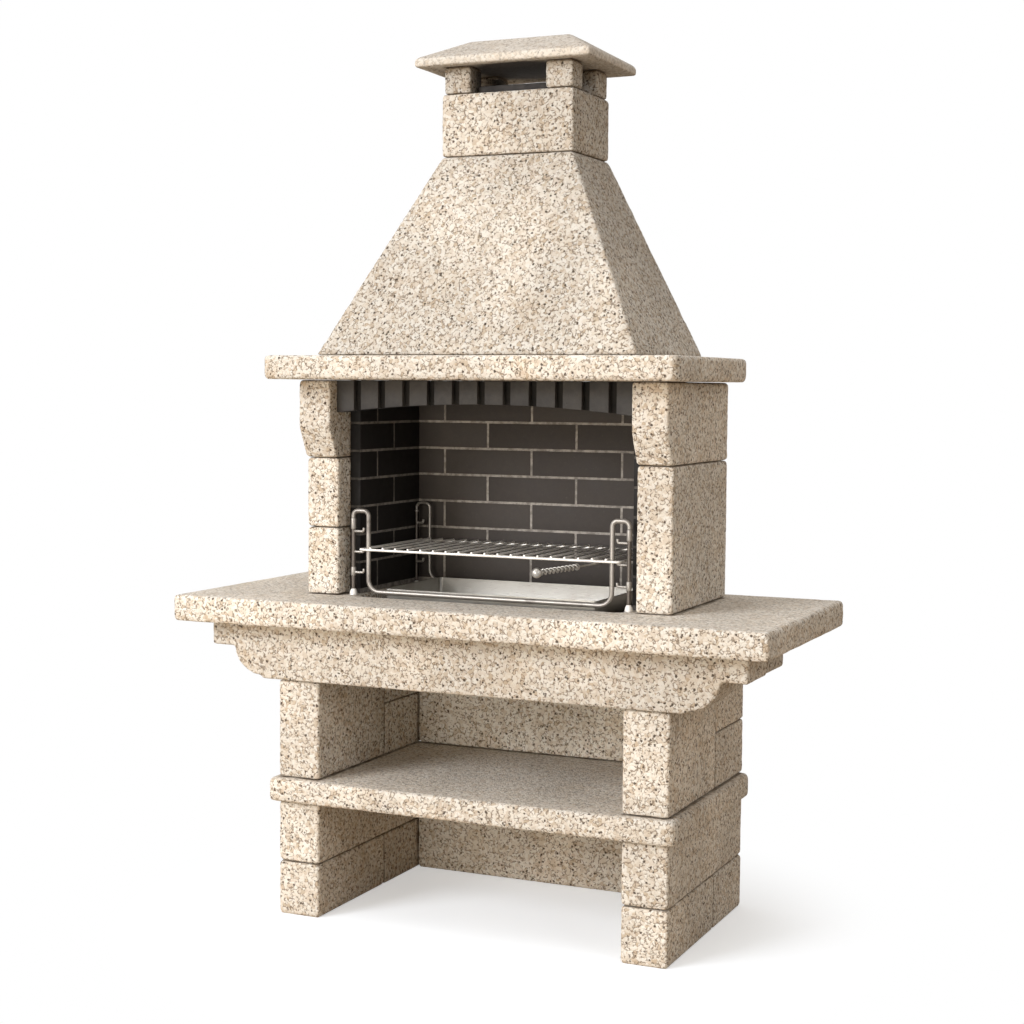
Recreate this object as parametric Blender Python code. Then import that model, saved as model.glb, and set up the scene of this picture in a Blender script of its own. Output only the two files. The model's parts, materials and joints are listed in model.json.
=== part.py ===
"""Outdoor masonry barbecue: cast-stone legs, shelf and table, brick-lined firebox,
hood and capped chimney, with a bent-rod grill support, a sliding grill and a fire tray.

Metres, +Z up, +X to the right, the open front faces -Y. The origin is on the floor,
under the middle of the table.
"""
import math

import bmesh
import bpy
from mathutils import Matrix, Vector

# Shared fits and roundings
SEAT_GAP = 0.0003
STONE_ARRIS = 0.0045
SLAB_ARRIS = 0.0070
CAP_ARRIS = 0.0060
BRICK_ARRIS = 0.0010
ARRIS_STEPS = 2

# Table slab
TABLE_WIDTH = 1.490
TABLE_DEPTH = 0.648
TABLE_TOP = 0.776
TABLE_THICKNESS = 0.064
TABLE_CORNER = 0.009
OPENING_FRONT_MARGIN = 0.1865
OPENING_BACK_LEDGE = 0.0035
OPENING_SIDE_LEDGE = 0.0146

# Legs, back walls and shelf of the niche
LEG_SPREAD = 1.000
LEG_WIDTH = 0.1127
LEG_FRONT_SETBACK = 0.0885
LEG_REAR_SETBACK = 0.0075
LEG_FRONT_BLOCK_DEPTH = 0.335
LEG_BASE_COURSE = 0.130
LEG_REAR_COURSE = 0.1337
NICHE_WALL_THICKNESS = 0.035
SHELF_TOP = 0.3363
SHELF_THICKNESS = 0.0577
SHELF_FRONT_PROUD = 0.0235
SHELF_SIDE_PROUD = 0.0202
SLAB_CORNER = 0.020

# Beams under the table
BEAM_HEIGHT = 0.1375
FRONT_BEAM_LENGTH = 1.360
FRONT_BEAM_DEPTH = 0.145
FRONT_BEAM_PROUD = 0.0145
FRONT_BEAM_END = 0.062
FRONT_BEAM_LEDGE = 0.063
OVOLO_REACH = 0.076
OVOLO_DROP = 0.069
REAR_BEAM_LENGTH = 1.200
REAR_BEAM_DEPTH = 0.152
REAR_BEAM_END = 0.106
REAR_BEAM_LEDGE = 0.070

# Pillars and corbels beside the firebox
PILLAR_SPREAD = 0.9412
PILLAR_WIDTH = 0.0880
PILLAR_DEPTH = 0.400
PILLAR_FRONT_MARGIN = 0.174
PILLAR_MIDDLE_COURSE = 0.1696
CORBEL_HEIGHT = 0.1874
CORBEL_PROUD = 0.041
CORBEL_NOSE_HEIGHT = 0.115
CORBEL_TOE = 0.012

# Mantel slab with its smoke throat
MANTEL_WIDTH = 1.0374
MANTEL_THICKNESS = 0.0574
MANTEL_TOP = 1.3543
MANTEL_FRONT_MARGIN = 0.044
THROAT_SIDE_LEDGE = 0.0146
THROAT_FRONT_LEDGE = 0.0075
THROAT_BACK_LEDGE = 0.012

# Firebrick lining, laid in running bond
BRICK_THICKNESS = 0.028
BRICK_COURSE = 0.068
BRICK_MODULE = 0.244
MORTAR_BED = 0.009
MORTAR_JOINT = 0.0055
MORTAR_RECESS = 0.0010
LINING_FRONT_INSET = 0.059
BACK_JOINT_OFFSET = -0.037
SIDE_JOINT_INSET = 0.0875
SIDE_JOINT_SHIFT = 0.087

# Lintel of upright bricks
SOLDIER_COUNT = 12
SOLDIER_JOINT = 0.0188
SOLDIER_PROUD = 0.017
LINTEL_FRONT_PROUD = 0.0075
LINTEL_DEPTH = 0.060
LINTEL_END_HEIGHT = 0.0776
LINTEL_RISE = 0.0226

# Hood, chimney and cap
HOOD_BASE_WIDTH = 0.8146
HOOD_FRONT_MARGIN = 0.061
HOOD_BACK_MARGIN = 0.002
HOOD_HEIGHT = 0.4767
HOOD_WALL = 0.035
CHIMNEY_WIDTH = 0.3422
CHIMNEY_DEPTH = 0.2336
CHIMNEY_BACK_MARGIN = 0.0428
CHIMNEY_HEIGHT = 0.1486
CHIMNEY_WALL = 0.035
FLUE_WALL = 0.008
FLUE_CORNER = 0.014
FLUE_SIDE_CLEARANCE = 0.002
FLUE_UPSTAND = 0.020
CAP_BLOCK_WIDTH = 0.0699
CAP_BLOCK_DEPTH = 0.0673
CAP_BLOCK_HEIGHT = 0.0649
CAP_BLOCK_INSET = 0.0045
CAP_SIDE_OVERHANG = 0.0545
CAP_END_OVERHANG = 0.0396
CAP_EDGE = 0.0212
CAP_RISE = 0.0529
CAP_SLOPE_SIDE = 0.0956
CAP_SLOPE_END = 0.1119
CAP_SOFFIT_MARGIN = 0.026
CAP_SOFFIT_RECESS = 0.004

# Hearth slab and fire tray
HEARTH_THICKNESS = 0.038
HEARTH_CLEARANCE = 0.0005
TRAY_HEIGHT = 0.0437
TRAY_SHEET = 0.0015
TRAY_HEM = 0.0030
TRAY_HEM_DROP = 0.005
TRAY_CORNER = 0.010
TRAY_SIDE_MARGIN = 0.039
TRAY_FRONT_CLEARANCE = 0.0025
TRAY_REAR_CLEARANCE = 0.005

# Bent-rod grill support
FRAME_HEIGHT = 0.211
FRAME_FRONT_INSET = 0.0295
FRAME_REAR_INSET = 0.0275
FRONT_ROD = 0.006
REAR_ROD = 0.0035
FRONT_POST_INSET = 0.0256
REAR_POST_INSET = 0.0066
FRONT_LOOP_WIDTH = 0.0415
REAR_LOOP_WIDTH = 0.038
LOOP_BEND = 0.013
LOOP_LEG = 0.017
GUARD_BAR_LIFT = 0.004
GUARD_CORNER = 0.030
POST_SHAFT = 0.0050
SLEEVE_SWELL = 0.0015
SLEEVE_LENGTH = 0.026
COLLAR_HEIGHT = 0.048
COLLAR_LENGTH = 0.019
FRONT_FOOT_SWELL = 0.0045
FRONT_FOOT_HEIGHT = 0.015
REAR_BALL_SWELL = 0.0017
REAR_FOOT_SWELL = 0.0018
REAR_FOOT_HEIGHT = 0.005
PEG_RADIUS = 0.0033
PEG_PITCH = 0.050
PEG_LEVELS = 3
PEG_TIP_CLEARANCE = 0.0012
PEG_TIP_RISE = 0.009
PEG_BEND = 0.0045

# Grill
GRILL_HEIGHT = 0.112
RIM_RADIUS = 0.0030
RIM_SIDE_CLEARANCE = 0.0115
RIM_FRONT_CLEARANCE = 0.0008
RIM_REAR_CLEARANCE = 0.0015
RIM_CORNER = 0.010
RIM_TAIL = 0.016
REAR_RAIL_RADIUS = 0.0027
WIRE_RADIUS = 0.0025
WIRE_COUNT = 19
WIRE_EDGE_MARGIN = 0.0315
WELD_DEPTH = 0.0006

# Handle with its coil grip
HANDLE_SIDE_INSET = 0.0575
HANDLE_LENGTH = 0.1785
HANDLE_TAIL = 0.020
HANDLE_ROD = 0.0030
HANDLE_SKEW = math.radians(22.2)
HANDLE_DROOP = math.radians(2.4)
COIL_TURNS = 9
COIL_POINTS = 9
COIL_PITCH = 0.0122
COIL_WIRE = 0.00175
COIL_CLEARANCE = 0.0008
STOP_SWELL = 0.0050
STOP_LENGTH = 0.003
KNOB_RADIUS = 0.0116
KNOB_FLAT = 0.0082

# Facets of round work
ROD_RESOLUTION = 3
THIN_ROD_RESOLUTION = 2
COIL_RESOLUTION = 1
LATHE_STEPS = 16
BEND_STEPS = 6
CORNER_STEPS = 4
ARC_STEPS = 6

# Levels and planes that follow from the sizes above
TABLE_FRONT = -TABLE_DEPTH / 2
TABLE_BACK = TABLE_DEPTH / 2
TABLE_UNDERSIDE = TABLE_TOP - TABLE_THICKNESS
LEG_TOP = TABLE_UNDERSIDE - BEAM_HEIGHT
LEG_FRONT = TABLE_FRONT + LEG_FRONT_SETBACK
LEG_BACK = TABLE_BACK - LEG_REAR_SETBACK
LEG_OUTSIDE = LEG_SPREAD / 2
LEG_INSIDE = LEG_OUTSIDE - LEG_WIDTH
LEG_SPLIT = LEG_FRONT + LEG_FRONT_BLOCK_DEPTH
SHELF_UNDERSIDE = SHELF_TOP - SHELF_THICKNESS
PILLAR_FRONT = TABLE_FRONT + PILLAR_FRONT_MARGIN
PILLAR_BACK = PILLAR_FRONT + PILLAR_DEPTH
PILLAR_OUTSIDE = PILLAR_SPREAD / 2
PILLAR_INSIDE = PILLAR_OUTSIDE - PILLAR_WIDTH
MANTEL_UNDERSIDE = MANTEL_TOP - MANTEL_THICKNESS
MANTEL_FRONT = TABLE_FRONT + MANTEL_FRONT_MARGIN
CORBEL_FOOT = MANTEL_UNDERSIDE - CORBEL_HEIGHT
LINING_FRONT = PILLAR_FRONT + LINING_FRONT_INSET
LINING_INSIDE = PILLAR_INSIDE - SEAT_GAP - BRICK_THICKNESS
LINING_BACK_FACE = PILLAR_BACK - BRICK_THICKNESS
LINTEL_FRONT = PILLAR_FRONT - LINTEL_FRONT_PROUD
LINTEL_BACK = LINTEL_FRONT + LINTEL_DEPTH
OPENING_HALF = LINING_INSIDE - OPENING_SIDE_LEDGE
OPENING_FRONT = TABLE_FRONT + OPENING_FRONT_MARGIN
OPENING_BACK = LINING_BACK_FACE - OPENING_BACK_LEDGE
HOOD_TOP = MANTEL_TOP + HOOD_HEIGHT
CHIMNEY_HALF = CHIMNEY_WIDTH / 2
CHIMNEY_BACK = PILLAR_BACK - CHIMNEY_BACK_MARGIN
CHIMNEY_FRONT = CHIMNEY_BACK - CHIMNEY_DEPTH
CHIMNEY_TOP = HOOD_TOP + CHIMNEY_HEIGHT
CAP_UNDERSIDE = CHIMNEY_TOP + CAP_BLOCK_HEIGHT
FLUE_BORE = (CHIMNEY_HALF - CAP_BLOCK_INSET - CAP_BLOCK_WIDTH - FLUE_SIDE_CLEARANCE,
             CHIMNEY_FRONT + CHIMNEY_WALL, CHIMNEY_BACK - CHIMNEY_WALL)
HEARTH_TOP = TABLE_UNDERSIDE + HEARTH_THICKNESS
FRONT_FRAME_PLANE = PILLAR_FRONT + FRAME_FRONT_INSET
REAR_FRAME_PLANE = LINING_BACK_FACE - FRAME_REAR_INSET
FRONT_POST_X = PILLAR_INSIDE - FRONT_POST_INSET
REAR_POST_X = LINING_INSIDE - REAR_POST_INSET
FRONT_GUARD_X = FRONT_POST_X - FRONT_LOOP_WIDTH
REAR_GUARD_X = REAR_POST_X - REAR_LOOP_WIDTH
FRAME_TOP = TABLE_TOP + FRAME_HEIGHT
GRILL_LEVEL = TABLE_TOP + GRILL_HEIGHT
RIM_HALF = FRONT_GUARD_X + FRONT_ROD + RIM_SIDE_CLEARANCE + RIM_RADIUS
RIM_FRONT = FRONT_FRAME_PLANE - FRONT_ROD - RIM_FRONT_CLEARANCE - RIM_RADIUS
RIM_REAR_RAIL = REAR_FRAME_PLANE - REAR_ROD - RIM_REAR_CLEARANCE - RIM_RADIUS
REST_PEG_LEVEL = GRILL_LEVEL - RIM_RADIUS - SEAT_GAP - PEG_RADIUS
PEG_TIP_X = RIM_HALF - RIM_RADIUS - PEG_TIP_CLEARANCE - PEG_RADIUS
TRAY_HALF = FRONT_GUARD_X - TRAY_SIDE_MARGIN
TRAY_FRONT = FRONT_FRAME_PLANE + FRONT_ROD + TRAY_FRONT_CLEARANCE
TRAY_BACK = REAR_FRAME_PLANE - REAR_ROD - TRAY_REAR_CLEARANCE

# Colour (red, green, blue), roughness and metallic value of each finish
FINISHES = {
    "cast_stone": ((0.66, 0.58, 0.46), 0.90, 0.0),
    "firebrick": ((0.050, 0.045, 0.043), 0.65, 0.0),
    "lintel_brick": ((0.085, 0.088, 0.090), 0.60, 0.0),
    "refractory": ((0.16, 0.14, 0.12), 0.90, 0.0),
    "flue_cement": ((0.28, 0.27, 0.26), 0.85, 0.0),
    "tray_steel": ((0.62, 0.61, 0.58), 0.32, 1.0),
    "rod_steel": ((0.66, 0.65, 0.63), 0.22, 1.0),
}


def clear_scene():
    """Removes whatever the opened file holds."""
    for item in list(bpy.data.objects):
        bpy.data.objects.remove(item, do_unlink=True)


def give_material(item, finish_name):
    """Gives an object its own Principled material in one of the finishes."""
    colour, roughness, metallic = FINISHES[finish_name]
    material = bpy.data.materials.new(item.name + "_" + finish_name)
    material.use_nodes = True
    shader = material.node_tree.nodes["Principled BSDF"]
    shader.inputs["Base Color"].default_value = (*colour, 1.0)
    shader.inputs["Roughness"].default_value = roughness
    shader.inputs["Metallic"].default_value = metallic
    material.diffuse_color = (*colour, 1.0)
    item.data.materials.append(material)


def add_object(name, data, finish_name, at=(0, 0, 0), parent=None):
    """Puts a mesh or a curve in the scene as a named object."""
    item = bpy.data.objects.new(name, data)
    item.location = at
    item.parent = parent
    bpy.context.scene.collection.objects.link(item)
    give_material(item, finish_name)
    return item


def add_empty(name, at, parent=None):
    """Adds an empty that carries a moving piece."""
    item = bpy.data.objects.new(name, None)
    item.location = at
    item.parent = parent
    bpy.context.scene.collection.objects.link(item)
    return item


def place(name, shape, finish_name="cast_stone", at=(0, 0, 0), smooth=False, parent=None):
    """Turns a bmesh into a named object, its faces pointing out."""
    bmesh.ops.recalc_face_normals(shape, faces=shape.faces[:])
    mesh = bpy.data.meshes.new(name)
    shape.to_mesh(mesh)
    shape.free()
    if smooth:
        mesh.shade_smooth()
        mesh.set_sharp_from_angle(angle=math.radians(40))
    return add_object(name, mesh, finish_name, at, parent)


def round_arrises(item, width):
    """Rounds the sharp edges of a piece."""
    modifier = item.modifiers.new("arris", "BEVEL")
    modifier.width = width
    modifier.segments = ARRIS_STEPS
    modifier.limit_method = "ANGLE"
    modifier.angle_limit = math.radians(25)
    return item


def box_between(shape, low, high):
    """Adds a box between two opposite corners."""
    made = bmesh.ops.create_cube(shape, size=1)["verts"]
    bmesh.ops.scale(shape, vec=[b - a for a, b in zip(low, high)], verts=made)
    bmesh.ops.translate(shape, vec=[(a + b) / 2 for a, b in zip(low, high)], verts=made)


def block(name, low, high):
    """Makes one cast block with rounded arrises, its origin at its centre."""
    centre = Vector([(a + b) / 2 for a, b in zip(low, high)])
    half = Vector([(b - a) / 2 for a, b in zip(low, high)])
    shape = bmesh.new()
    box_between(shape, -half, half)
    round_arrises(place(name, shape, at=centre), STONE_ARRIS)


def prism(name, outline, axis, start, end):
    """Extrudes an outline, given across and up, along X or Y."""
    shape = bmesh.new()
    if axis == "X":
        corners = [shape.verts.new((start, across, up)) for across, up in outline]
        sweep = Vector((end - start, 0, 0))
    else:
        corners = [shape.verts.new((across, start, up)) for across, up in outline]
        sweep = Vector((0, end - start, 0))
    grown = bmesh.ops.extrude_face_region(shape, geom=[shape.faces.new(corners)])["geom"]
    moved = [part for part in grown if isinstance(part, bmesh.types.BMVert)]
    bmesh.ops.translate(shape, vec=sweep, verts=moved)
    return place(name, shape)


def plan(half_width, front, back, corner=0.0):
    """Points of a level rectangle, its corners rounded where a radius is given."""
    corners = ((half_width, front, -1), (half_width, back, 0),
               (-half_width, back, 1), (-half_width, front, 2))
    if not corner:
        return [(x, y) for x, y, quarter in corners]
    points = []
    for x, y, quarter in corners:
        centre_x = x - math.copysign(corner, x)
        centre_y = y + (corner if y == front else -corner)
        for step in range(CORNER_STEPS + 1):
            angle = math.pi / 2 * (quarter + step / CORNER_STEPS)
            points.append((centre_x + corner * math.cos(angle),
                           centre_y + corner * math.sin(angle)))
    return points


def skin(shape, lower, upper):
    """Walls in the space between two loops of as many corners."""
    for index, corner in enumerate(lower):
        shape.faces.new((lower[index - 1], corner, upper[index], upper[index - 1]))


def loft(shape, loops):
    """Skins a stack of (plan points, level) loops and returns the corners of each."""
    rings = [[shape.verts.new((x, y, level)) for x, y in points] for points, level in loops]
    for lower, upper in zip(rings, rings[1:]):
        skin(shape, lower, upper)
    return rings


def solid_loft(name, loops, **options):
    """Makes a closed solid from a stack of level loops, the first and last one capped."""
    shape = bmesh.new()
    rings = loft(shape, loops)
    shape.faces.new(rings[0])
    shape.faces.new(rings[-1])
    return place(name, shape, **options)


def tube_loft(name, loops, arris, **options):
    """Makes a ring that is open both ways: its outer loops first, then its inner ones."""
    shape = bmesh.new()
    rings = loft(shape, loops)
    skin(shape, rings[-1], rings[0])
    return round_arrises(place(name, shape, **options), arris)


def pierced_slab(name, outer, inner, bottom, top):
    """Makes a slab with an opening right through it and rounded arrises."""
    tube_loft(name, [(outer, bottom), (outer, top), (inner, top), (inner, bottom)], SLAB_ARRIS)


def turned(shape, profile):
    """Spins a profile of (radius, height), from axis to axis, about the Z axis."""
    points = [shape.verts.new((radius, 0, height)) for radius, height in profile]
    edges = [shape.edges.new(pair) for pair in zip(points, points[1:])]
    bmesh.ops.spin(shape, geom=points + edges, axis=(0, 0, 1), cent=(0, 0, 0),
                   angle=math.tau, steps=LATHE_STEPS, use_merge=True)
    bmesh.ops.remove_doubles(shape, verts=shape.verts[:], dist=SEAT_GAP / 10)


def bent(corners, radius, steps=BEND_STEPS):
    """Rounds the inner corners of a path with true arcs and returns its points."""
    corners = [Vector(corner) for corner in corners]
    points = [corners[0]]
    for before, corner, after in zip(corners, corners[1:], corners[2:]):
        arriving = (corner - before).normalized()
        leaving = (after - corner).normalized()
        turn = arriving.angle(leaving)
        start = corner - arriving * radius * math.tan(turn / 2)
        axis = arriving.cross(leaving).normalized()
        centre = start + axis.cross(arriving) * radius
        for step in range(steps + 1):
            swing = Matrix.Rotation(turn * step / steps, 3, axis)
            points.append(centre + swing @ (start - centre))
    return points + [corners[-1]]


def rod_curve(name, runs, radius, resolution):
    """Makes a curve of round rods, one spline for each run of points."""
    curve = bpy.data.curves.new(name, "CURVE")
    curve.dimensions = "3D"
    curve.bevel_depth = radius
    curve.bevel_resolution = resolution
    curve.use_fill_caps = True
    for points in runs:
        spline = curve.splines.new("POLY")
        spline.points.add(len(points) - 1)
        for slot, point in zip(spline.points, points):
            slot.co = (*point, 1)
        spline.use_smooth = True
    return curve


def rod_mesh(name, runs, radius, resolution):
    """Makes round rods as one mesh, which a Boolean can join."""
    guide = bpy.data.objects.new(name, rod_curve(name, runs, radius, resolution))
    mesh = bpy.data.meshes.new_from_object(guide)
    bpy.data.objects.remove(guide)
    shape = bmesh.new()
    shape.from_mesh(mesh)
    bmesh.ops.remove_doubles(shape, verts=shape.verts[:], dist=SEAT_GAP / 10)
    bmesh.ops.recalc_face_normals(shape, faces=shape.faces[:])
    shape.to_mesh(mesh)
    shape.free()
    return mesh


def weld_on(item, name, mesh, solver="EXACT"):
    """Joins a mesh, given in the object's own space, to it with a Boolean union."""
    helper = bpy.data.objects.new(name, mesh)
    helper.hide_render = True
    helper.display_type = "WIRE"
    helper.location = item.location
    helper.parent = item.parent
    bpy.context.scene.collection.objects.link(helper)
    modifier = item.modifiers.new("weld", "BOOLEAN")
    modifier.operation = "UNION"
    modifier.solver = solver
    modifier.object = helper


def leg(side_name, side):
    """Builds one leg of six blocks; side is -1 on the left and 1 on the right."""
    low_x, high_x = sorted((side * LEG_INSIDE, side * LEG_OUTSIDE))
    rear = LEG_SPLIT + SEAT_GAP
    rear_joint = SHELF_TOP + LEG_REAR_COURSE
    courses = {
        "base_front": (LEG_FRONT, LEG_SPLIT, 0, LEG_BASE_COURSE),
        "base_rear": (rear, LEG_BACK, 0, LEG_BASE_COURSE),
        "middle": (LEG_FRONT, LEG_BACK, LEG_BASE_COURSE + SEAT_GAP, SHELF_UNDERSIDE),
        "upper_front": (LEG_FRONT, LEG_SPLIT, SHELF_TOP + SEAT_GAP, LEG_TOP),
        "upper_rear_low": (rear, LEG_BACK, SHELF_TOP + SEAT_GAP, rear_joint),
        "upper_rear_high": (rear, LEG_BACK, rear_joint + SEAT_GAP, LEG_TOP),
    }
    for course, (front, back, bottom, top) in courses.items():
        block("leg_" + side_name + "_" + course, (low_x, front, bottom), (high_x, back, top))


def niche():
    """Builds the legs, the two back walls between them and the shelf."""
    leg("left", -1)
    leg("right", 1)
    half = LEG_INSIDE - SEAT_GAP
    front = LEG_BACK - NICHE_WALL_THICKNESS
    block("niche_wall_lower", (-half, front, 0), (half, LEG_BACK, SHELF_UNDERSIDE))
    block("niche_wall_upper", (-half, front, SHELF_TOP + SEAT_GAP), (half, LEG_BACK, LEG_TOP))
    outline = plan(LEG_OUTSIDE + SHELF_SIDE_PROUD, LEG_FRONT - SHELF_FRONT_PROUD, LEG_BACK,
                   SLAB_CORNER)
    shelf = solid_loft("shelf_slab", [(outline, SHELF_UNDERSIDE + SEAT_GAP), (outline, SHELF_TOP)])
    round_arrises(shelf, SLAB_ARRIS)


def both_halves(right_half):
    """Closes a symmetric outline from its right half, listed bottom to top."""
    return right_half + [(-across, up) for across, up in reversed(right_half)]


def beams():
    """Builds the front beam with its ovolo ends and the stepped rear beam."""
    bottom = LEG_TOP + SEAT_GAP
    top = TABLE_UNDERSIDE
    half = FRONT_BEAM_LENGTH / 2
    ledge = top - FRONT_BEAM_END
    foot = half - FRONT_BEAM_LEDGE - OVOLO_REACH
    outline = [(foot, bottom)]
    for step in range(ARC_STEPS + 1):
        angle = math.pi / 2 * (step / ARC_STEPS - 1)
        outline.append((foot + OVOLO_REACH * math.cos(angle),
                        ledge + OVOLO_DROP * math.sin(angle)))
    outline += [(half, ledge), (half, top)]
    front = LEG_FRONT - FRONT_BEAM_PROUD
    item = prism("front_beam", both_halves(outline), "Y", front, front + FRONT_BEAM_DEPTH)
    round_arrises(item, STONE_ARRIS)
    half = REAR_BEAM_LENGTH / 2
    ledge = top - REAR_BEAM_END
    step_in = half - REAR_BEAM_LEDGE
    outline = [(step_in, bottom), (step_in, ledge), (half, ledge), (half, top)]
    item = prism("rear_beam", both_halves(outline), "Y", LEG_BACK - REAR_BEAM_DEPTH, LEG_BACK)
    round_arrises(item, STONE_ARRIS)


def table():
    """Builds the table slab with its opening and the hearth slab that lies in it."""
    pierced_slab("table_slab", plan(TABLE_WIDTH / 2, TABLE_FRONT, TABLE_BACK, TABLE_CORNER),
                 plan(OPENING_HALF, OPENING_FRONT, OPENING_BACK, TABLE_CORNER),
                 TABLE_UNDERSIDE + SEAT_GAP, TABLE_TOP)
    outline = plan(OPENING_HALF - HEARTH_CLEARANCE, OPENING_FRONT + HEARTH_CLEARANCE,
                   OPENING_BACK - HEARTH_CLEARANCE, TABLE_CORNER)
    solid_loft("hearth_slab", [(outline, TABLE_UNDERSIDE + SEAT_GAP), (outline, HEARTH_TOP)],
               finish_name="refractory")


def corbel(name, side):
    """Builds one corbel: its nose steps forward over a slant and a quarter-round toe."""
    nose = PILLAR_FRONT - CORBEL_PROUD
    top = MANTEL_UNDERSIDE
    foot = CORBEL_FOOT + SEAT_GAP
    outline = [(PILLAR_BACK, foot)]
    for step in range(CORNER_STEPS + 1):
        angle = math.pi / 2 * step / CORNER_STEPS
        outline.append((PILLAR_FRONT - CORBEL_TOE * math.sin(angle),
                        foot + CORBEL_TOE * (1 - math.cos(angle))))
    outline += [(nose, top - CORBEL_NOSE_HEIGHT), (nose, top), (PILLAR_BACK, top)]
    start, end = sorted((side * PILLAR_INSIDE, side * PILLAR_OUTSIDE))
    round_arrises(prism(name, outline, "X", start, end), STONE_ARRIS)


def pillars():
    """Builds the left pillar of two blocks, the right one of one, and both corbels."""
    joint = CORBEL_FOOT - PILLAR_MIDDLE_COURSE
    foot = TABLE_TOP + SEAT_GAP
    block("pillar_left_lower", (-PILLAR_OUTSIDE, PILLAR_FRONT, foot),
          (-PILLAR_INSIDE, PILLAR_BACK, joint))
    block("pillar_left_upper", (-PILLAR_OUTSIDE, PILLAR_FRONT, joint + SEAT_GAP),
          (-PILLAR_INSIDE, PILLAR_BACK, CORBEL_FOOT))
    block("pillar_right", (PILLAR_INSIDE, PILLAR_FRONT, foot),
          (PILLAR_OUTSIDE, PILLAR_BACK, CORBEL_FOOT))
    corbel("corbel_left", -1)
    corbel("corbel_right", 1)


def cut_across(shape, faces, point, normal):
    """Scores faces along a plane."""
    parts = set(faces)
    for face in faces:
        parts.update(face.edges)
        parts.update(face.verts)
    bmesh.ops.bisect_plane(shape, geom=list(parts), plane_co=point, plane_no=normal)


def front_faces(shape):
    """Faces that look along -Y."""
    shape.normal_update()
    return [face for face in shape.faces if face.normal.y < -0.5]


def course_levels():
    """Bottom and top of each brick course of the lining, from the bed to the mantel."""
    levels = []
    bottom = TABLE_TOP + MORTAR_BED + MORTAR_JOINT / 2
    ceiling = MANTEL_UNDERSIDE - SEAT_GAP
    while bottom + MORTAR_JOINT < ceiling:
        levels.append((bottom, min(bottom + BRICK_COURSE - MORTAR_JOINT, ceiling)))
        bottom += BRICK_COURSE
    return levels


def course_faces(shape, level):
    """Front faces of the one course whose middle lies at a level."""
    return [face for face in front_faces(shape)
            if abs(face.calc_center_median().z - level) < MORTAR_JOINT]


def brick_wall(name, start, end, bond, at, turn):
    """Builds one laid wall, its bricks proud of the recessed mortar on its face.

    The wall runs along its own X from start to end and faces its own -Y. The bond gives
    the upright joints of the odd and of the even courses.
    """
    shape = bmesh.new()
    box_between(shape, (start, MORTAR_RECESS, TABLE_TOP + SEAT_GAP),
                (end, BRICK_THICKNESS, MANTEL_UNDERSIDE - SEAT_GAP))
    levels = course_levels()
    for pair in levels:
        for level in pair:
            cut_across(shape, shape.faces[:], (0, 0, level), (0, 0, 1))
    bmesh.ops.recalc_face_normals(shape, faces=shape.faces[:])
    bricks = []
    for index, (bottom, top) in enumerate(levels):
        middle = (bottom + top) / 2
        joints = [joint for joint in bond[index % 2]
                  if start + MORTAR_JOINT < joint < end - MORTAR_JOINT]
        for joint in joints:
            for edge in (joint - MORTAR_JOINT / 2, joint + MORTAR_JOINT / 2):
                cut_across(shape, course_faces(shape, middle), (edge, 0, 0), (1, 0, 0))
        for face in course_faces(shape, middle):
            centre = face.calc_center_median().x
            if all(abs(centre - joint) > MORTAR_JOINT / 2 for joint in joints):
                bricks.append(face)
    bmesh.ops.inset_individual(shape, faces=bricks, thickness=BRICK_ARRIS, depth=MORTAR_RECESS,
                               use_even_offset=True)
    item = place(name, shape, finish_name="firebrick", at=at)
    item.rotation_euler = (0, 0, turn)


def lining():
    """Builds the firebrick lining of the firebox: two sides and the back."""
    front = LINING_FRONT
    back = LINING_BACK_FACE - SEAT_GAP
    near = front + SIDE_JOINT_INSET
    far = near + SIDE_JOINT_SHIFT
    brick_wall("lining_left", front, back, ([near], [far]), (-LINING_INSIDE, 0, 0), math.pi / 2)
    brick_wall("lining_right", -back, -front, ([-near], [-far]), (LINING_INSIDE, 0, 0),
               -math.pi / 2)
    half = PILLAR_INSIDE - SEAT_GAP
    whole = [BACK_JOINT_OFFSET + BRICK_MODULE * step for step in (-1, 0, 1)]
    shifted = [joint + BRICK_MODULE / 2 for joint in whole]
    brick_wall("lining_back", -half, half, (whole, shifted), (0, LINING_BACK_FACE, 0), 0)


def lintel():
    """Builds the lintel: upright bricks proud of their bedding, over a shallow arch."""
    half = PILLAR_INSIDE - SEAT_GAP
    width = (2 * half - (SOLDIER_COUNT - 1) * SOLDIER_JOINT) / SOLDIER_COUNT
    springing = MANTEL_UNDERSIDE - LINTEL_END_HEIGHT
    top = MANTEL_UNDERSIDE - SEAT_GAP
    shape = bmesh.new()
    box_between(shape, (-half, LINTEL_FRONT + SOLDIER_PROUD, springing), (half, LINTEL_BACK, top))
    lefts = [index * (width + SOLDIER_JOINT) - half for index in range(SOLDIER_COUNT)]
    for left in lefts:
        cut_across(shape, shape.faces[:], (left, 0, 0), (1, 0, 0))
        cut_across(shape, shape.faces[:], (left + width, 0, 0), (1, 0, 0))
    radius = (half ** 2 + LINTEL_RISE ** 2) / (2 * LINTEL_RISE)
    for vert in shape.verts:
        if vert.co.z < (springing + top) / 2:
            arch = math.sqrt(radius ** 2 - vert.co.x ** 2) - (radius - LINTEL_RISE)
            vert.co.z = springing + arch
    bmesh.ops.recalc_face_normals(shape, faces=shape.faces[:])
    fronts = [face for face in front_faces(shape)
              if any(left < face.calc_center_median().x < left + width for left in lefts)]
    grown = bmesh.ops.extrude_discrete_faces(shape, faces=fronts)["faces"]
    moved = {vert for face in grown for vert in face.verts}
    bmesh.ops.translate(shape, vec=(0, -SOLDIER_PROUD, 0), verts=list(moved))
    place("lintel", shape, finish_name="lintel_brick")


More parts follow.
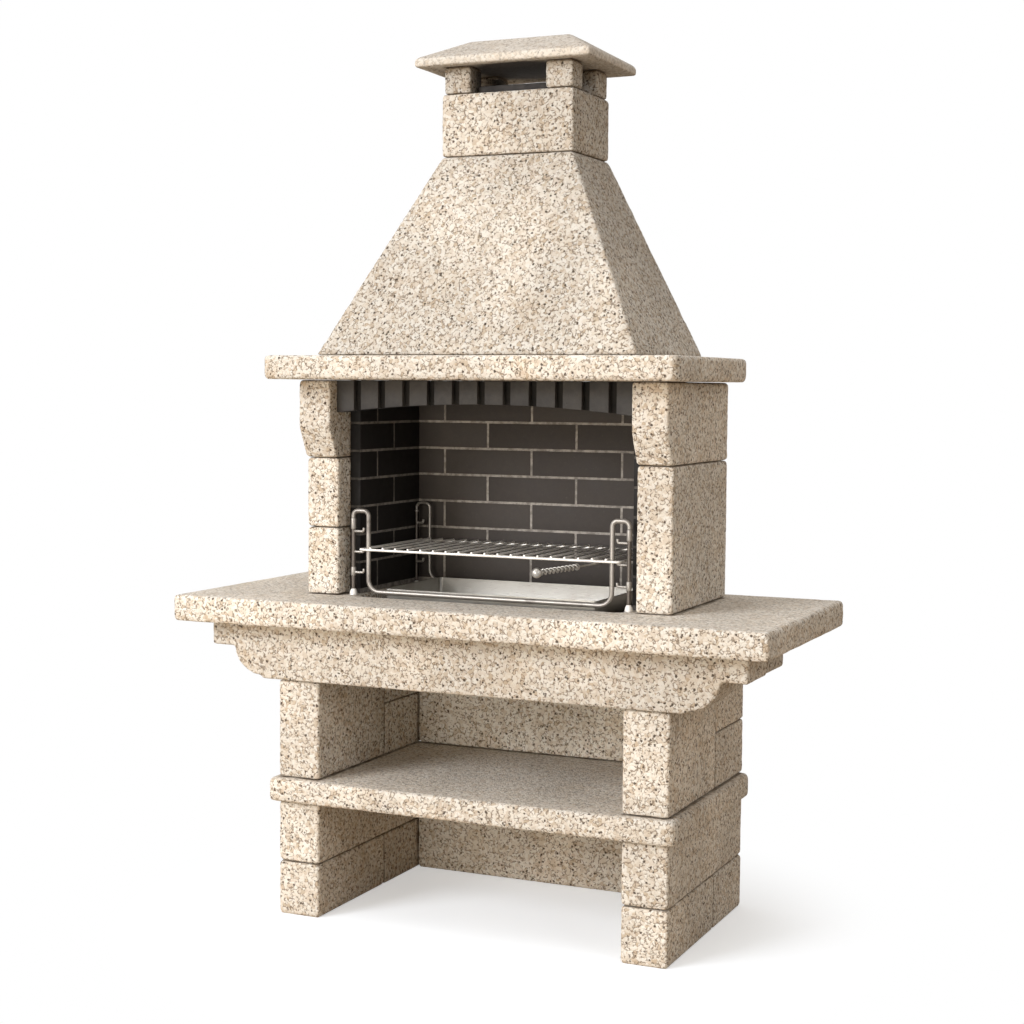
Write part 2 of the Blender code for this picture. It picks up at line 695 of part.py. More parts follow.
def mantel():
    """Builds the mantel slab with its smoke throat behind the lintel."""
    outer = plan(MANTEL_WIDTH / 2, MANTEL_FRONT, PILLAR_BACK, SLAB_CORNER)
    throat = plan(LINING_INSIDE - THROAT_SIDE_LEDGE, LINTEL_BACK + THROAT_FRONT_LEDGE,
                  LINING_BACK_FACE - THROAT_BACK_LEDGE, SLAB_CORNER)
    pierced_slab("mantel_slab", outer, throat, MANTEL_UNDERSIDE + SEAT_GAP, MANTEL_TOP)


def shrunk(size, wall):
    """A plan size of half width, front and back, drawn in by a wall all round."""
    half_width, front, back = size
    return (half_width - wall, front + wall, back - wall)


def hood():
    """Builds the hollow tapered hood; its top is drawn in to carry the flue liner."""
    foot = MANTEL_TOP + SEAT_GAP
    base = (HOOD_BASE_WIDTH / 2, MANTEL_FRONT + HOOD_FRONT_MARGIN, PILLAR_BACK - HOOD_BACK_MARGIN)
    top = (CHIMNEY_HALF, CHIMNEY_FRONT, CHIMNEY_BACK)
    flue = plan(*shrunk(FLUE_BORE, FLUE_WALL), FLUE_CORNER - FLUE_WALL)
    tube_loft("hood", [(plan(*base, STONE_ARRIS), foot), (plan(*top, STONE_ARRIS), HOOD_TOP),
                       (flue, HOOD_TOP), (plan(*shrunk(base, HOOD_WALL), FLUE_CORNER), foot)],
              STONE_ARRIS)


def chimney():
    """Builds the chimney block, the flue liner in it and the four cap blocks."""
    outer = plan(CHIMNEY_HALF, CHIMNEY_FRONT, CHIMNEY_BACK, STONE_ARRIS)
    bore = plan(*FLUE_BORE, FLUE_CORNER)
    foot = HOOD_TOP + SEAT_GAP
    tube_loft("chimney_block", [(outer, foot), (outer, CHIMNEY_TOP), (bore, CHIMNEY_TOP),
                                (bore, foot)], STONE_ARRIS)
    outer = plan(*shrunk(FLUE_BORE, SEAT_GAP), FLUE_CORNER - SEAT_GAP)
    bore = plan(*shrunk(FLUE_BORE, FLUE_WALL), FLUE_CORNER - FLUE_WALL)
    lip = CHIMNEY_TOP + FLUE_UPSTAND
    tube_loft("flue_liner", [(outer, foot), (outer, lip), (bore, lip), (bore, foot)],
              BRICK_ARRIS, finish_name="flue_cement")
    outside = CHIMNEY_HALF - CAP_BLOCK_INSET
    rows = {"front": CHIMNEY_FRONT + CAP_BLOCK_INSET,
            "rear": CHIMNEY_BACK - CAP_BLOCK_INSET - CAP_BLOCK_DEPTH}
    for side_name, side in (("left", -1), ("right", 1)):
        low_x, high_x = sorted((side * (outside - CAP_BLOCK_WIDTH), side * outside))
        for row_name, row in rows.items():
            block("cap_block_" + row_name + "_" + side_name,
                  (low_x, row, CHIMNEY_TOP + SEAT_GAP),
                  (high_x, row + CAP_BLOCK_DEPTH, CAP_UNDERSIDE - SEAT_GAP))


def cap():
    """Builds the hipped cap slab, its soffit set up a little inside its edge."""
    edge = (CHIMNEY_HALF + CAP_SIDE_OVERHANG, CHIMNEY_FRONT - CAP_END_OVERHANG,
            CHIMNEY_BACK + CAP_END_OVERHANG)
    soffit = shrunk(edge, CAP_SOFFIT_MARGIN)
    plateau = (edge[0] - CAP_SLOPE_SIDE, edge[1] + CAP_SLOPE_END, edge[2] - CAP_SLOPE_END)
    rim = CAP_UNDERSIDE - CAP_SOFFIT_RECESS
    shape = bmesh.new()
    rings = loft(shape, [
        (plan(*soffit), CAP_UNDERSIDE),
        (plan(*soffit), rim),
        (plan(*edge), rim),
        (plan(*edge), rim + CAP_EDGE),
        (plan(*plateau), rim + CAP_EDGE + CAP_RISE),
    ])
    shape.faces.new(rings[0])
    shape.faces.new(rings[-1])
    outside = {vert for corners in rings[2:] for vert in corners}
    worn = [part for part in shape.edges if outside.issuperset(part.verts)]
    bmesh.ops.bevel(shape, geom=worn, offset=CAP_ARRIS, segments=ARRIS_STEPS, profile=0.5,
                    affect="EDGES", material=-1)
    place("chimney_cap", shape)


def fire_tray():
    """Builds the sheet tray with rounded corners and a turned-in hem, on its lifting origin."""
    seat = add_empty("fire_tray_seat", (0, (TRAY_FRONT + TRAY_BACK) / 2, HEARTH_TOP + SEAT_GAP))
    depth = (TRAY_BACK - TRAY_FRONT) / 2
    hem_foot = TRAY_HEIGHT - TRAY_HEM_DROP

    def wall(inset, level):
        return (plan(TRAY_HALF - inset, inset - depth, depth - inset, TRAY_CORNER - inset), level)

    solid_loft("fire_tray", [
        wall(TRAY_SHEET, 0), wall(0, TRAY_SHEET), wall(0, TRAY_HEIGHT),
        wall(TRAY_HEM, TRAY_HEIGHT), wall(TRAY_HEM, hem_foot),
        wall(TRAY_SHEET, hem_foot), wall(TRAY_SHEET, TRAY_SHEET),
    ], finish_name="tray_steel", parent=seat)


def guard_rod(name, plane, post_x, guard_x, radius, resolution):
    """Bends a guard rod: over from one post, down, along above the table, and back up.

    Returns the height above the table at which its ends stand on the posts.
    """
    apex = FRAME_TOP - radius
    bar = TABLE_TOP + GUARD_BAR_LIFT + radius
    middle = (guard_x, plane, (bar + apex) / 2)
    end = apex - LOOP_LEG
    right = bent([(0, plane, bar), (guard_x, plane, bar), middle], GUARD_CORNER)[1:]
    right += bent([middle, (guard_x, plane, apex), (post_x, plane, apex), (post_x, plane, end)],
                  LOOP_BEND)[1:]
    left = [(-x, y, z) for x, y, z in reversed(right)]
    add_object(name, rod_curve(name, [left + right], radius, resolution), "rod_steel")
    return end - TABLE_TOP - SEAT_GAP


def front_post_profile(top):
    """Turned profile of a front post: shaft, collar, shaft and a rounded sleeve."""
    sleeve = POST_SHAFT + SLEEVE_SWELL
    foot = FRONT_FOOT_HEIGHT + 2 * SEAT_GAP
    collar_top = COLLAR_HEIGHT + COLLAR_LENGTH
    head = top - SLEEVE_LENGTH
    return [(0, foot), (POST_SHAFT, foot), (POST_SHAFT, COLLAR_HEIGHT - SLEEVE_SWELL),
            (sleeve, COLLAR_HEIGHT), (sleeve, collar_top),
            (POST_SHAFT, collar_top + SLEEVE_SWELL), (POST_SHAFT, head - SLEEVE_SWELL),
            (sleeve, head), (sleeve, top - 2 * SLEEVE_SWELL), (POST_SHAFT, top), (0, top)]


def rear_post_profile(top):
    """Turned profile of a rear post: a thin shaft with a ball at its top."""
    ball = REAR_ROD + REAR_BALL_SWELL
    foot = REAR_FOOT_HEIGHT + 2 * SEAT_GAP
    flat = math.asin(REAR_ROD / ball)
    profile = [(0, foot), (REAR_ROD, foot)]
    for step in range(ARC_STEPS + 1):
        angle = math.pi - flat - (math.pi - 2 * flat) * step / ARC_STEPS
        profile.append((ball * math.sin(angle), top + ball * (math.cos(angle) - math.cos(flat))))
    return profile + [(0, top)]


def foot_profile(shaft, swell, height):
    """Domed foot, flat where the post stands on it and where it stands on the table."""
    radius = shaft + swell
    flat = math.asin(shaft / radius)
    profile = [(0, SEAT_GAP + height)]
    for step in range(ARC_STEPS + 1):
        angle = flat + (math.pi / 2 - flat) * step / ARC_STEPS
        profile.append((radius * math.sin(angle),
                        SEAT_GAP + height * math.cos(angle) / math.cos(flat)))
    return profile + [(0, SEAT_GAP)]


def support_row(row, plane, post_x, guard_x, rod, resolution, post_profile, foot):
    """Builds one row of the grill support: guard rod, and posts with their pegs and feet."""
    top = guard_rod(row + "_guard_rod", plane, post_x, guard_x, rod, resolution)
    for side_name, side in (("left", -1), ("right", 1)):
        at = (side * post_x, plane, TABLE_TOP)
        shape = bmesh.new()
        turned(shape, post_profile(top))
        post = place(row + "_post_" + side_name, shape, "rod_steel", at, smooth=True)
        reach = side * (PEG_TIP_X - post_x)
        runs = []
        for index in range(PEG_LEVELS):
            level = REST_PEG_LEVEL - TABLE_TOP + (index - (PEG_LEVELS - 1) / 2) * PEG_PITCH
            runs.append(bent([(0, 0, level), (reach, 0, level), (reach, 0, level + PEG_TIP_RISE)],
                             PEG_BEND, CORNER_STEPS))
        name = row + "_pegs_" + side_name
        weld_on(post, name, rod_mesh(name, runs, PEG_RADIUS, THIN_ROD_RESOLUTION))
        shape = bmesh.new()
        turned(shape, foot_profile(*foot))
        place(row + "_foot_" + side_name, shape, "rod_steel", at, smooth=True)


def grill_support():
    """Builds the front and rear rows of the grill support."""
    support_row("front", FRONT_FRAME_PLANE, FRONT_POST_X, FRONT_GUARD_X, FRONT_ROD,
                ROD_RESOLUTION, front_post_profile,
                (POST_SHAFT, FRONT_FOOT_SWELL, FRONT_FOOT_HEIGHT))
    support_row("rear", REAR_FRAME_PLANE, REAR_POST_X, REAR_GUARD_X, REAR_ROD,
                THIN_ROD_RESOLUTION, rear_post_profile,
                (REAR_ROD, REAR_FOOT_SWELL, REAR_FOOT_HEIGHT))


def grill():
    """Builds the welded grill, its origin at the middle of its front rail, and its handle."""
    seat = add_empty("grill_slide_origin", (0, RIM_FRONT, GRILL_LEVEL))
    rear_rail = RIM_REAR_RAIL - RIM_FRONT
    end = rear_rail + RIM_TAIL
    spread = RIM_HALF - WIRE_EDGE_MARGIN
    places = [spread * (2 * index / (WIRE_COUNT - 1) - 1) for index in range(WIRE_COUNT)]
    # The rails get a ring of corners between every two wires, so that no facet is a long sliver
    between = [(first + second) / 2 for first, second in zip(places, places[1:])]
    left = bent([(-RIM_HALF, end, 0), (-RIM_HALF, 0, 0), (0, 0, 0)], RIM_CORNER)[:-1]
    right = [Vector((-x, y, z)) for x, y, z in reversed(left)]
    rim = left + [Vector((across, 0, 0)) for across in between] + right
    item = add_object("grill", rod_mesh("grill", [rim], RIM_RADIUS, THIN_ROD_RESOLUTION),
                      "rod_steel", parent=seat)
    rail = [Vector((across, rear_rail, 0)) for across in (-RIM_HALF, *between, RIM_HALF)]
    weld_on(item, "grill_rear_rail",
            rod_mesh("grill_rear_rail", [rail], REAR_RAIL_RADIUS, THIN_ROD_RESOLUTION))
    level = RIM_RADIUS + WIRE_RADIUS - WELD_DEPTH
    wires = [[Vector((across, -RIM_RADIUS, level)),
              Vector((across, rear_rail + RIM_RADIUS, level))] for across in places]
    weld_on(item, "grill_wires", rod_mesh("grill_wires", wires, WIRE_RADIUS, THIN_ROD_RESOLUTION),
            solver="MANIFOLD")
    handle(seat)


def coil_points(start):
    """Points of the coil along Z from a start: a straight end, open turns, a straight end."""
    radius = HANDLE_ROD + COIL_CLEARANCE + COIL_WIRE
    straight = Vector((0, 0, 2 * COIL_WIRE))
    turns = []
    for index in range(COIL_TURNS * COIL_POINTS + 1):
        swing = math.tau * index / COIL_POINTS
        turns.append(Vector((radius * math.cos(swing), radius * math.sin(swing),
                             start + straight.z + COIL_PITCH * index / COIL_POINTS)))
    nearest = min((turns[first] - turns[second]).length
                  for first in range(len(turns))
                  for second in range(first + COIL_POINTS - 1, len(turns)))
    gap = nearest - 2 * COIL_WIRE
    print("Coil grip, least gap from curl to curl:", round(gap * 1000, 2), "mm")
    return [turns[0] - straight, *turns, turns[-1] + straight]


def knob_profile():
    """Ball knob, flat where it meets the end of the rod."""
    first = math.asin(KNOB_FLAT / KNOB_RADIUS)
    profile = [(0, -KNOB_RADIUS * math.cos(first))]
    count = 2 * ARC_STEPS
    for step in range(count):
        angle = first + (math.pi - first) * step / count
        profile.append((KNOB_RADIUS * math.sin(angle), -KNOB_RADIUS * math.cos(angle)))
    return profile + [(0, KNOB_RADIUS)]


def handle(grill_seat):
    """Builds the handle under the front rail: rod with its stop, coil grip and ball knob."""
    drop = RIM_RADIUS + SEAT_GAP + HANDLE_ROD / math.cos(HANDLE_DROOP)
    seat = add_empty("handle_seat", (RIM_HALF - HANDLE_SIDE_INSET, 0, -drop), grill_seat)
    seat.rotation_euler = (math.pi / 2 + HANDLE_DROOP, 0, -HANDLE_SKEW)
    coil_length = COIL_TURNS * COIL_PITCH + 4 * COIL_WIRE
    stop_end = HANDLE_LENGTH - coil_length - SEAT_GAP
    stop_start = stop_end - STOP_LENGTH
    stop = HANDLE_ROD + STOP_SWELL
    shape = bmesh.new()
    turned(shape, [(0, -HANDLE_TAIL), (HANDLE_ROD, -HANDLE_TAIL), (HANDLE_ROD, stop_start),
                   (stop, stop_start), (stop, stop_end), (HANDLE_ROD, stop_end),
                   (HANDLE_ROD, HANDLE_LENGTH), (0, HANDLE_LENGTH)])
    place("handle_rod", shape, "rod_steel", smooth=True, parent=seat)
    coil = rod_curve("handle_coil", [coil_points(stop_end + SEAT_GAP)], COIL_WIRE, COIL_RESOLUTION)
    add_object("handle_coil", coil, "rod_steel", parent=seat)
    shape = bmesh.new()
    profile = knob_profile()
    turned(shape, profile)
    place("handle_knob", shape, "rod_steel", (0, 0, HANDLE_LENGTH + SEAT_GAP - profile[0][1]),
          smooth=True, parent=seat)


clear_scene()
niche()
beams()
table()
pillars()
lining()
lintel()
mantel()
hood()
chimney()
cap()
fire_tray()
grill_support()
grill()
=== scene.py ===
"""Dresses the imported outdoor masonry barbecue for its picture.

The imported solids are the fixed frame. Every sub-assembly below is a class that builds finer
pieces over its solids, gives them their finish and sets them on their body. Lengths are in
metres, in the shared frame.
"""

import json
import logging
import math
import random
from dataclasses import dataclass, field
from enum import Enum

import bmesh
import bpy
import numpy as np
from mathutils import Euler, Matrix, Vector, noise


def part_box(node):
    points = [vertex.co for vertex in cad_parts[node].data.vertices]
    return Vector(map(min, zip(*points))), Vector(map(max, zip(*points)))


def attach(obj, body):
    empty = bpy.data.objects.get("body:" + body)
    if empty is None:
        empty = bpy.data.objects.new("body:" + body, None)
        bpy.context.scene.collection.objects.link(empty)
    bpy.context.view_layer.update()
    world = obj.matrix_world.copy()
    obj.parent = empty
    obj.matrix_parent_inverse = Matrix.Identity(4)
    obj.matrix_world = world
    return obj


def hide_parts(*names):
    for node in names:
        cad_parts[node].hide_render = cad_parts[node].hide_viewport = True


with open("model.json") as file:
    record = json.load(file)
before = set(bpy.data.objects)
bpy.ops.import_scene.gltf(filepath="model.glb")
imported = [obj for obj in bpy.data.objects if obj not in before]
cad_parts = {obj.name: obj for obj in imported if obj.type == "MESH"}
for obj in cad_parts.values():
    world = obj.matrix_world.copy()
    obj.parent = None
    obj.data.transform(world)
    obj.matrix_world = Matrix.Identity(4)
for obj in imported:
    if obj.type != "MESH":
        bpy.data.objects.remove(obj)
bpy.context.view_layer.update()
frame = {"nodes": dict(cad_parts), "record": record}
log = logging.getLogger("barbecue")

Span = tuple[float, float]
Triple = tuple[float, float, float]
Colour = Triple
Socket = bpy.types.NodeSocket
Shape = bmesh.types.BMesh

RISING: Span = (0.0, 1.0)
FALLING: Span = (1.0, 0.0)
UP, DOWN = Vector((0, 0, 1)), Vector((0, 0, -1))
LEFT, RIGHT = Vector((-1, 0, 0)), Vector((1, 0, 0))
FORWARD, BACK = Vector((0, -1, 0)), Vector((0, 1, 0))


class Side(Enum):
    """The left or the right half of the barbecue."""

    LEFT = -1
    RIGHT = 1

    @property
    def label(self) -> str:
        """The side's name as the solids spell it."""
        return self.name.lower()


class Row(Enum):
    """The front or the rear row of the grill support."""

    FRONT = "front"
    REAR = "rear"


class Grain(Enum):
    """How coarse the aggregate shows on a cast-stone face, as a share of its relief."""

    COARSE = 1.0
    FINE = 0.45


class Body(Enum):
    """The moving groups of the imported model."""

    MASONRY = "masonry"
    GRILL = "grill"
    TRAY = "tray"


# Shader building


@dataclass(frozen=True)
class Mottle:
    """A soft random pattern: waves per metre, octaves, their weight, and how it is spread."""

    waves: float
    detail: float = 2.0
    roughness: float = 0.5
    bounds: Span | None = None
    shares: Span = RISING


class Graph:
    """Lays the nodes of one material or of the sky."""

    def __init__(self, owner: bpy.types.Material | bpy.types.World) -> None:
        """Opens the owner's node tree."""
        owner.use_nodes = True
        self.owner = owner
        self.tree = owner.node_tree

    def node(self, kind: str, **settings: object) -> bpy.types.Node:
        """Adds a node.

        Args:
            kind: The node's type name.
            **settings: Properties to set on it.

        Returns:
            The new node.
        """
        made = self.tree.nodes.new(kind)
        for key, value in settings.items():
            setattr(made, key, value)
        return made

    def feed(self, socket: Socket, value: object) -> None:
        """Links a socket to another socket, or sets its value.

        Args:
            socket: The input to fill.
            value: An output socket, a number or a colour.
        """
        if isinstance(value, bpy.types.NodeSocket):
            self.tree.links.new(value, socket)
        elif isinstance(value, tuple) and len(value) == 3 and socket.type == "RGBA":
            socket.default_value = (*value, 1.0)
        else:
            socket.default_value = value

    def give(self, kind: str, *values: object, **settings: object) -> Socket:
        """Adds a node whose first inputs take some values.

        Args:
            kind: The node's type name.
            *values: Sockets, numbers or colours for its first inputs.
            **settings: Properties to set on it.

        Returns:
            Its first output.
        """
        made = self.node(kind, **settings)
        for socket, value in zip(made.inputs, values):
            self.feed(socket, value)
        return made.outputs[0]

    def here(self) -> Socket:
        """Object coordinates."""
        return self.node("ShaderNodeTexCoord").outputs["Object"]

    def place(self, seed: int, reach: float = 5.0) -> Socket:
        """Object coordinates, shifted and turned so that no two pieces share a pattern.

        Args:
            seed: Number that picks the shift and the turn.
            reach: Furthest shift along an axis.

        Returns:
            The coordinate socket.
        """
        draw = random.Random(seed)
        shift = [draw.uniform(-reach, reach) for _ in range(3)]
        turn = [draw.uniform(-math.pi, math.pi) for _ in range(3)]
        return self.give("ShaderNodeMapping", self.here(), shift, turn)

    def noise(self, at: Socket, pattern: Mottle, output: str = "Fac") -> Socket:
        """Adds a noise pattern.

        Args:
            at: Coordinates.
            pattern: How fine it is, and how its values are spread.
            output: Which output to give.

        Returns:
            The chosen output, spread where the pattern has bounds.
        """
        made = self.node("ShaderNodeTexNoise")
        for key, value in (("Vector", at), ("Scale", pattern.waves), ("Detail", pattern.detail),
                           ("Roughness", pattern.roughness)):
            self.feed(made.inputs[key], value)
        plain = made.outputs[output]
        return self.span(plain, pattern.bounds, pattern.shares) if pattern.bounds else plain

    def cells(self, at: Socket, count: float, feature: str = "F1") -> bpy.types.Node:
        """Adds a cell pattern.

        Args:
            at: Coordinates.
            count: Cells per metre.
            feature: Which distance it measures.

        Returns:
            The pattern node.
        """
        made = self.node("ShaderNodeTexVoronoi", feature=feature)
        self.feed(made.inputs["Vector"], at)
        self.feed(made.inputs["Scale"], count)
        return made

    def warp(self, at: Socket, waves: float, reach: float) -> Socket:
        """Bends coordinates so that cells get crooked edges.

        Args:
            at: Coordinates.
            waves: Waves per metre of the bending.
            reach: Furthest shift.

        Returns:
            The bent coordinates.
        """
        drift = self.give("ShaderNodeVectorMath", self.noise(at, Mottle(waves), "Color"),
                          (0.5, 0.5, 0.5), operation="SUBTRACT")
        scaled = self.node("ShaderNodeVectorMath", operation="SCALE")
        self.feed(scaled.inputs[0], drift)
        self.feed(scaled.inputs["Scale"], reach * 2)
        return self.give("ShaderNodeVectorMath", at, scaled.outputs[0], operation="ADD")

    def ramp(self, value: Socket, stops: list[tuple[float, Colour]]) -> Socket:
        """Turns a number into a colour.

        Args:
            value: The number.
            stops: Places from 0 to 1 with their colours.

        Returns:
            The colour.
        """
        made = self.node("ShaderNodeValToRGB")
        elements = made.color_ramp.elements
        while len(elements) < len(stops):
            elements.new(1.0)
        for element, (at, colour) in zip(elements, stops):
            element.position = at
            element.color = (*colour, 1.0)
        self.feed(made.inputs["Fac"], value)
        return made.outputs["Color"]

    def channel(self, colour: Socket, name: str) -> Socket:
        """One of a colour's three channels."""
        return self.give("ShaderNodeSeparateColor", colour).node.outputs[name]

    def span(self, value: Socket, bounds: Span, shares: Span = RISING) -> Socket:
        """Maps a range of a number smoothly onto another range, clamped.

        Args:
            value: The number.
            bounds: Start and end of its range.
            shares: Results at the start and at the end.

        Returns:
            The mapped number.
        """
        return self.give("ShaderNodeMapRange", value, *bounds, *shares,
                         interpolation_type="SMOOTHSTEP")

    def maths(self, operation: str, first: object, second: object) -> Socket:
        """One step of arithmetic on two numbers or sockets."""
        return self.give("ShaderNodeMath", first, second, operation=operation)

    def mix(self, share: object, first: object, second: object, blend: str = "MIX") -> Socket:
        """Mixes two colours.

        Args:
            share: How much of the second colour shows.
            first: First colour.
            second: Second colour.
            blend: How they combine.

        Returns:
            The mixed colour.
        """
        made = self.node("ShaderNodeMix", data_type="RGBA", blend_type=blend)
        for index, value in ((0, share), (6, first), (7, second)):
            self.feed(made.inputs[index], value)
        return made.outputs[2]

    def relief(self, height: Socket, depth: float, before: Socket | None = None) -> Socket:
        """Turns a height pattern into a bumped normal.

        Args:
            height: The pattern, from 0 to 1.
            depth: Its height.
            before: A normal that it adds to.

        Returns:
            The normal.
        """
        made = self.node("ShaderNodeBump")
        for key, value in (("Strength", 1.0), ("Distance", depth), ("Height", height)):
            self.feed(made.inputs[key], value)
        if before is not None:
            self.feed(made.inputs["Normal"], before)
        return made.outputs["Normal"]

    def length(self, at: Socket) -> Socket:
        """How far coordinates lie from their origin."""
        return self.give("ShaderNodeVectorMath", at, operation="LENGTH").node.outputs["Value"]

    def near_axis(self, centre: Span, reach: Span) -> Socket:
        """1 close to an upright axis and 0 away from it.

        Args:
            centre: Where the axis stands.
            reach: Distance up to which the result is 1, and the one from which it is 0.

        Returns:
            The share.
        """
        flat = self.give("ShaderNodeMapping", self.here(), (-centre[0], -centre[1], 0), (0, 0, 0),
                         (1, 1, 0))
        return self.span(self.length(flat), reach, FALLING)

    def facing(self, axis: str) -> Socket:
        """How far a face looks along an axis, from -1 to 1."""
        normal = self.node("ShaderNodeTexCoord").outputs["Normal"]
        return self.give("ShaderNodeSeparateXYZ", normal).node.outputs[axis]

    def mark(self, name: str) -> Socket:
        """The value of one of the mesh's own attributes."""
        return self.node("ShaderNodeAttribute", attribute_name=name).outputs["Fac"]

    def seen_directly(self) -> Socket:
        """Tells the rays that show a surface from those that only light it.

        Returns:
            1 for the eye, a reflection or a view through glass, and 0 for the rest.
        """
        path = self.node("ShaderNodeLightPath").outputs
        seen = self.maths("MAXIMUM", path["Is Camera Ray"], path["Is Glossy Ray"])
        return self.maths("MAXIMUM", seen, path["Is Transmission Ray"])

    def dress(self, **sockets: object) -> bpy.types.Material:
        """Fills the inputs of the material's Principled shader.

        Args:
            **sockets: Input names, with underscores for spaces, and their values.

        Returns:
            The finished material.
        """
        shader = self.tree.nodes["Principled BSDF"]
        for key, value in sockets.items():
            self.feed(shader.inputs[key.replace("_", " ")], value)
        return self.owner


def open_material(name: str, seed: int) -> tuple[Graph, Socket]:
    """Starts a material.

    Args:
        name: Its name.
        seed: Number that picks its place in its patterns.

    Returns:
        Its nodes and its coordinates.
    """
    graph = Graph(bpy.data.materials.new(name))
    return graph, graph.place(seed)


# Finishes


@dataclass(frozen=True)
class CastStone:
    """Bush-hammered cast stone with cream chips and dark specks in a tan binder."""

    chips_per_metre: float = 120.0
    crook_share: float = 0.8
    crook: float = 0.0052
    binder: Colour = (0.56, 0.46, 0.345)
    beige: Colour = (0.67, 0.585, 0.485)
    cream: Colour = (0.745, 0.68, 0.59)
    white: Colour = (0.81, 0.77, 0.70)
    grades: tuple[float, ...] = (0.0, 0.14, 0.42, 0.86)
    shadow: Colour = (0.185, 0.135, 0.088)
    seam: Span = (0.03, 0.17)
    seam_breaks: Mottle = Mottle(120.0, bounds=(0.46, 0.56))
    seam_share: float = 0.84
    speck: Colour = (0.080, 0.057, 0.040)
    specks_per_metre: float = 84.0
    speck_waves: float = 190.0
    speck_crook: float = 0.003
    speck_chance: float = 0.57
    speck_edge: Span = (0.18, 0.30)
    speck_share: float = 0.94
    ochre: Colour = (0.82, 0.68, 0.50)
    clouds: Mottle = Mottle(9.0, 3.0, 0.6, (0.50, 0.72), (0.0, 0.26))
    batch_waves: float = 4.0
    batch_bounds: Span = (0.40, 0.66)
    batch_shares: Span = (0.90, 1.06)
    # Tone of each piece: partly its batch, partly painted shade where less light falls on the hood,
    # the chimney and the beam.
    batches: tuple[tuple[str, float], ...] = (
        ("hood", 0.80), ("chimney_block", 0.83), ("cap_block", 0.70), ("mantel", 0.96),
        ("beam", 0.88))
    # Paler skin of the tops: a smoother finish from the trowel, made paler still as painted light.
    trowelled: Colour = (0.82, 0.79, 0.74)
    trowel_marks: Mottle = Mottle(14.0, 4.0, 0.65)
    top: Span = (0.80, 0.97)
    top_share: float = 0.24
    cap_top: Colour = (0.37, 0.335, 0.295)
    cap_edge: Colour = (0.60, 0.56, 0.50)
    cap: Span = (0.20, 0.80)
    cap_share: float = 0.58
    # Painted shade on the underside of the fine cap.
    soffit: Colour = (0.27, 0.25, 0.225)
    underside: Span = (-0.80, -0.30)
    smoke: Colour = (0.030, 0.024, 0.020)
    flue: Span = (0.0, 0.0905)
    smoke_reach: Span = (0.105, 0.160)
    smoke_slope: Span = (0.05, 0.30)
    smoke_share: float = 0.92
    bed: Span = (0.15, 0.85)
    # Breaks along the dark joint lines: dirt and painted shade between the blocks.
    mortar: Mottle = Mottle(26.0, 3.0, 0.5, (0.36, 0.60), (0.28, 0.76))
    chip_edge: Span = (0.0, 0.30)
    relief_depth: float = 0.0008
    pits: Mottle = Mottle(330.0)
    pit_share: float = 0.5
    grit: Mottle = Mottle(900.0, 1.0, 0.5, (0.2, 0.8), (0.80, 0.96))
    specular: float = 0.25
    slot: str = "cast_stone"

    def grains(self, graph: Graph, at: Socket) -> tuple[Socket, Socket]:
        """Chips with broken dark seams, and specks over them.

        Args:
            graph: The stone's nodes.
            at: Coordinates.

        Returns:
            The colour and the height of the grain.
        """
        crooked = graph.warp(at, self.chips_per_metre * self.crook_share, self.crook)
        chips = graph.cells(crooked, self.chips_per_metre)
        paints = (self.binder, self.beige, self.cream, self.white)
        stone = graph.ramp(graph.channel(chips.outputs["Color"], "Red"),
                           list(zip(self.grades, paints)))
        seam = graph.cells(crooked, self.chips_per_metre, "DISTANCE_TO_EDGE").outputs["Distance"]
        crevice = graph.maths("MULTIPLY", graph.span(seam, self.seam, FALLING),
                              graph.noise(at, self.seam_breaks))
        stone = graph.mix(graph.maths("MULTIPLY", crevice, self.seam_share), stone, self.shadow)
        spots = graph.cells(graph.warp(at, self.speck_waves, self.speck_crook),
                            self.specks_per_metre)
        chosen = graph.maths("GREATER_THAN", graph.channel(spots.outputs["Color"], "Green"),
                             self.speck_chance)
        near = graph.span(spots.outputs["Distance"], self.speck_edge, FALLING)
        speck = graph.maths("MULTIPLY", chosen, near)
        stone = graph.mix(graph.maths("MULTIPLY", speck, self.speck_share), stone, self.speck)
        return stone, graph.maths("SUBTRACT", graph.span(seam, self.chip_edge), speck)

    def aged(self, graph: Graph, at: Socket, stone: Socket, tone: float, grain: Grain) -> Socket:
        """Clouds and tones a stone, where the tone is partly painted shade; gives the tops of
        coarse blocks a smoother, paler skin that is partly painted light, and greys a fine one,
        with painted shade on its underside.

        Args:
            graph: The stone's nodes.
            at: Coordinates.
            stone: The stone's colour.
            tone: How pale the piece is: its batch, and on some pieces painted shade.
            grain: The piece's grain.

        Returns:
            The aged colour.
        """
        stone = graph.mix(graph.noise(at, self.clouds), stone, self.ochre, "MULTIPLY")
        shares = tuple(share * tone for share in self.batch_shares)
        pale = graph.noise(at, Mottle(self.batch_waves, bounds=self.batch_bounds, shares=shares))
        grey = graph.give("ShaderNodeCombineColor", pale, pale, pale)
        stone = graph.mix(1.0, stone, grey, "MULTIPLY")
        if grain is Grain.COARSE:
            # The tops take the paler skin, which is partly painted light.
            top = graph.maths("MULTIPLY", graph.span(graph.facing("Z"), self.top), self.top_share)
            skin = graph.mix(graph.noise(at, self.trowel_marks), self.trowelled, self.cream)
            return graph.mix(top, stone, skin)
        skin = graph.mix(graph.span(graph.facing("Z"), self.cap), self.cap_edge, self.cap_top)
        # The underside of a fine piece gets painted shade.
        below = graph.span(graph.facing("Z"), self.underside, FALLING)
        return graph.mix(self.cap_share, stone, graph.mix(below, skin, self.soffit))

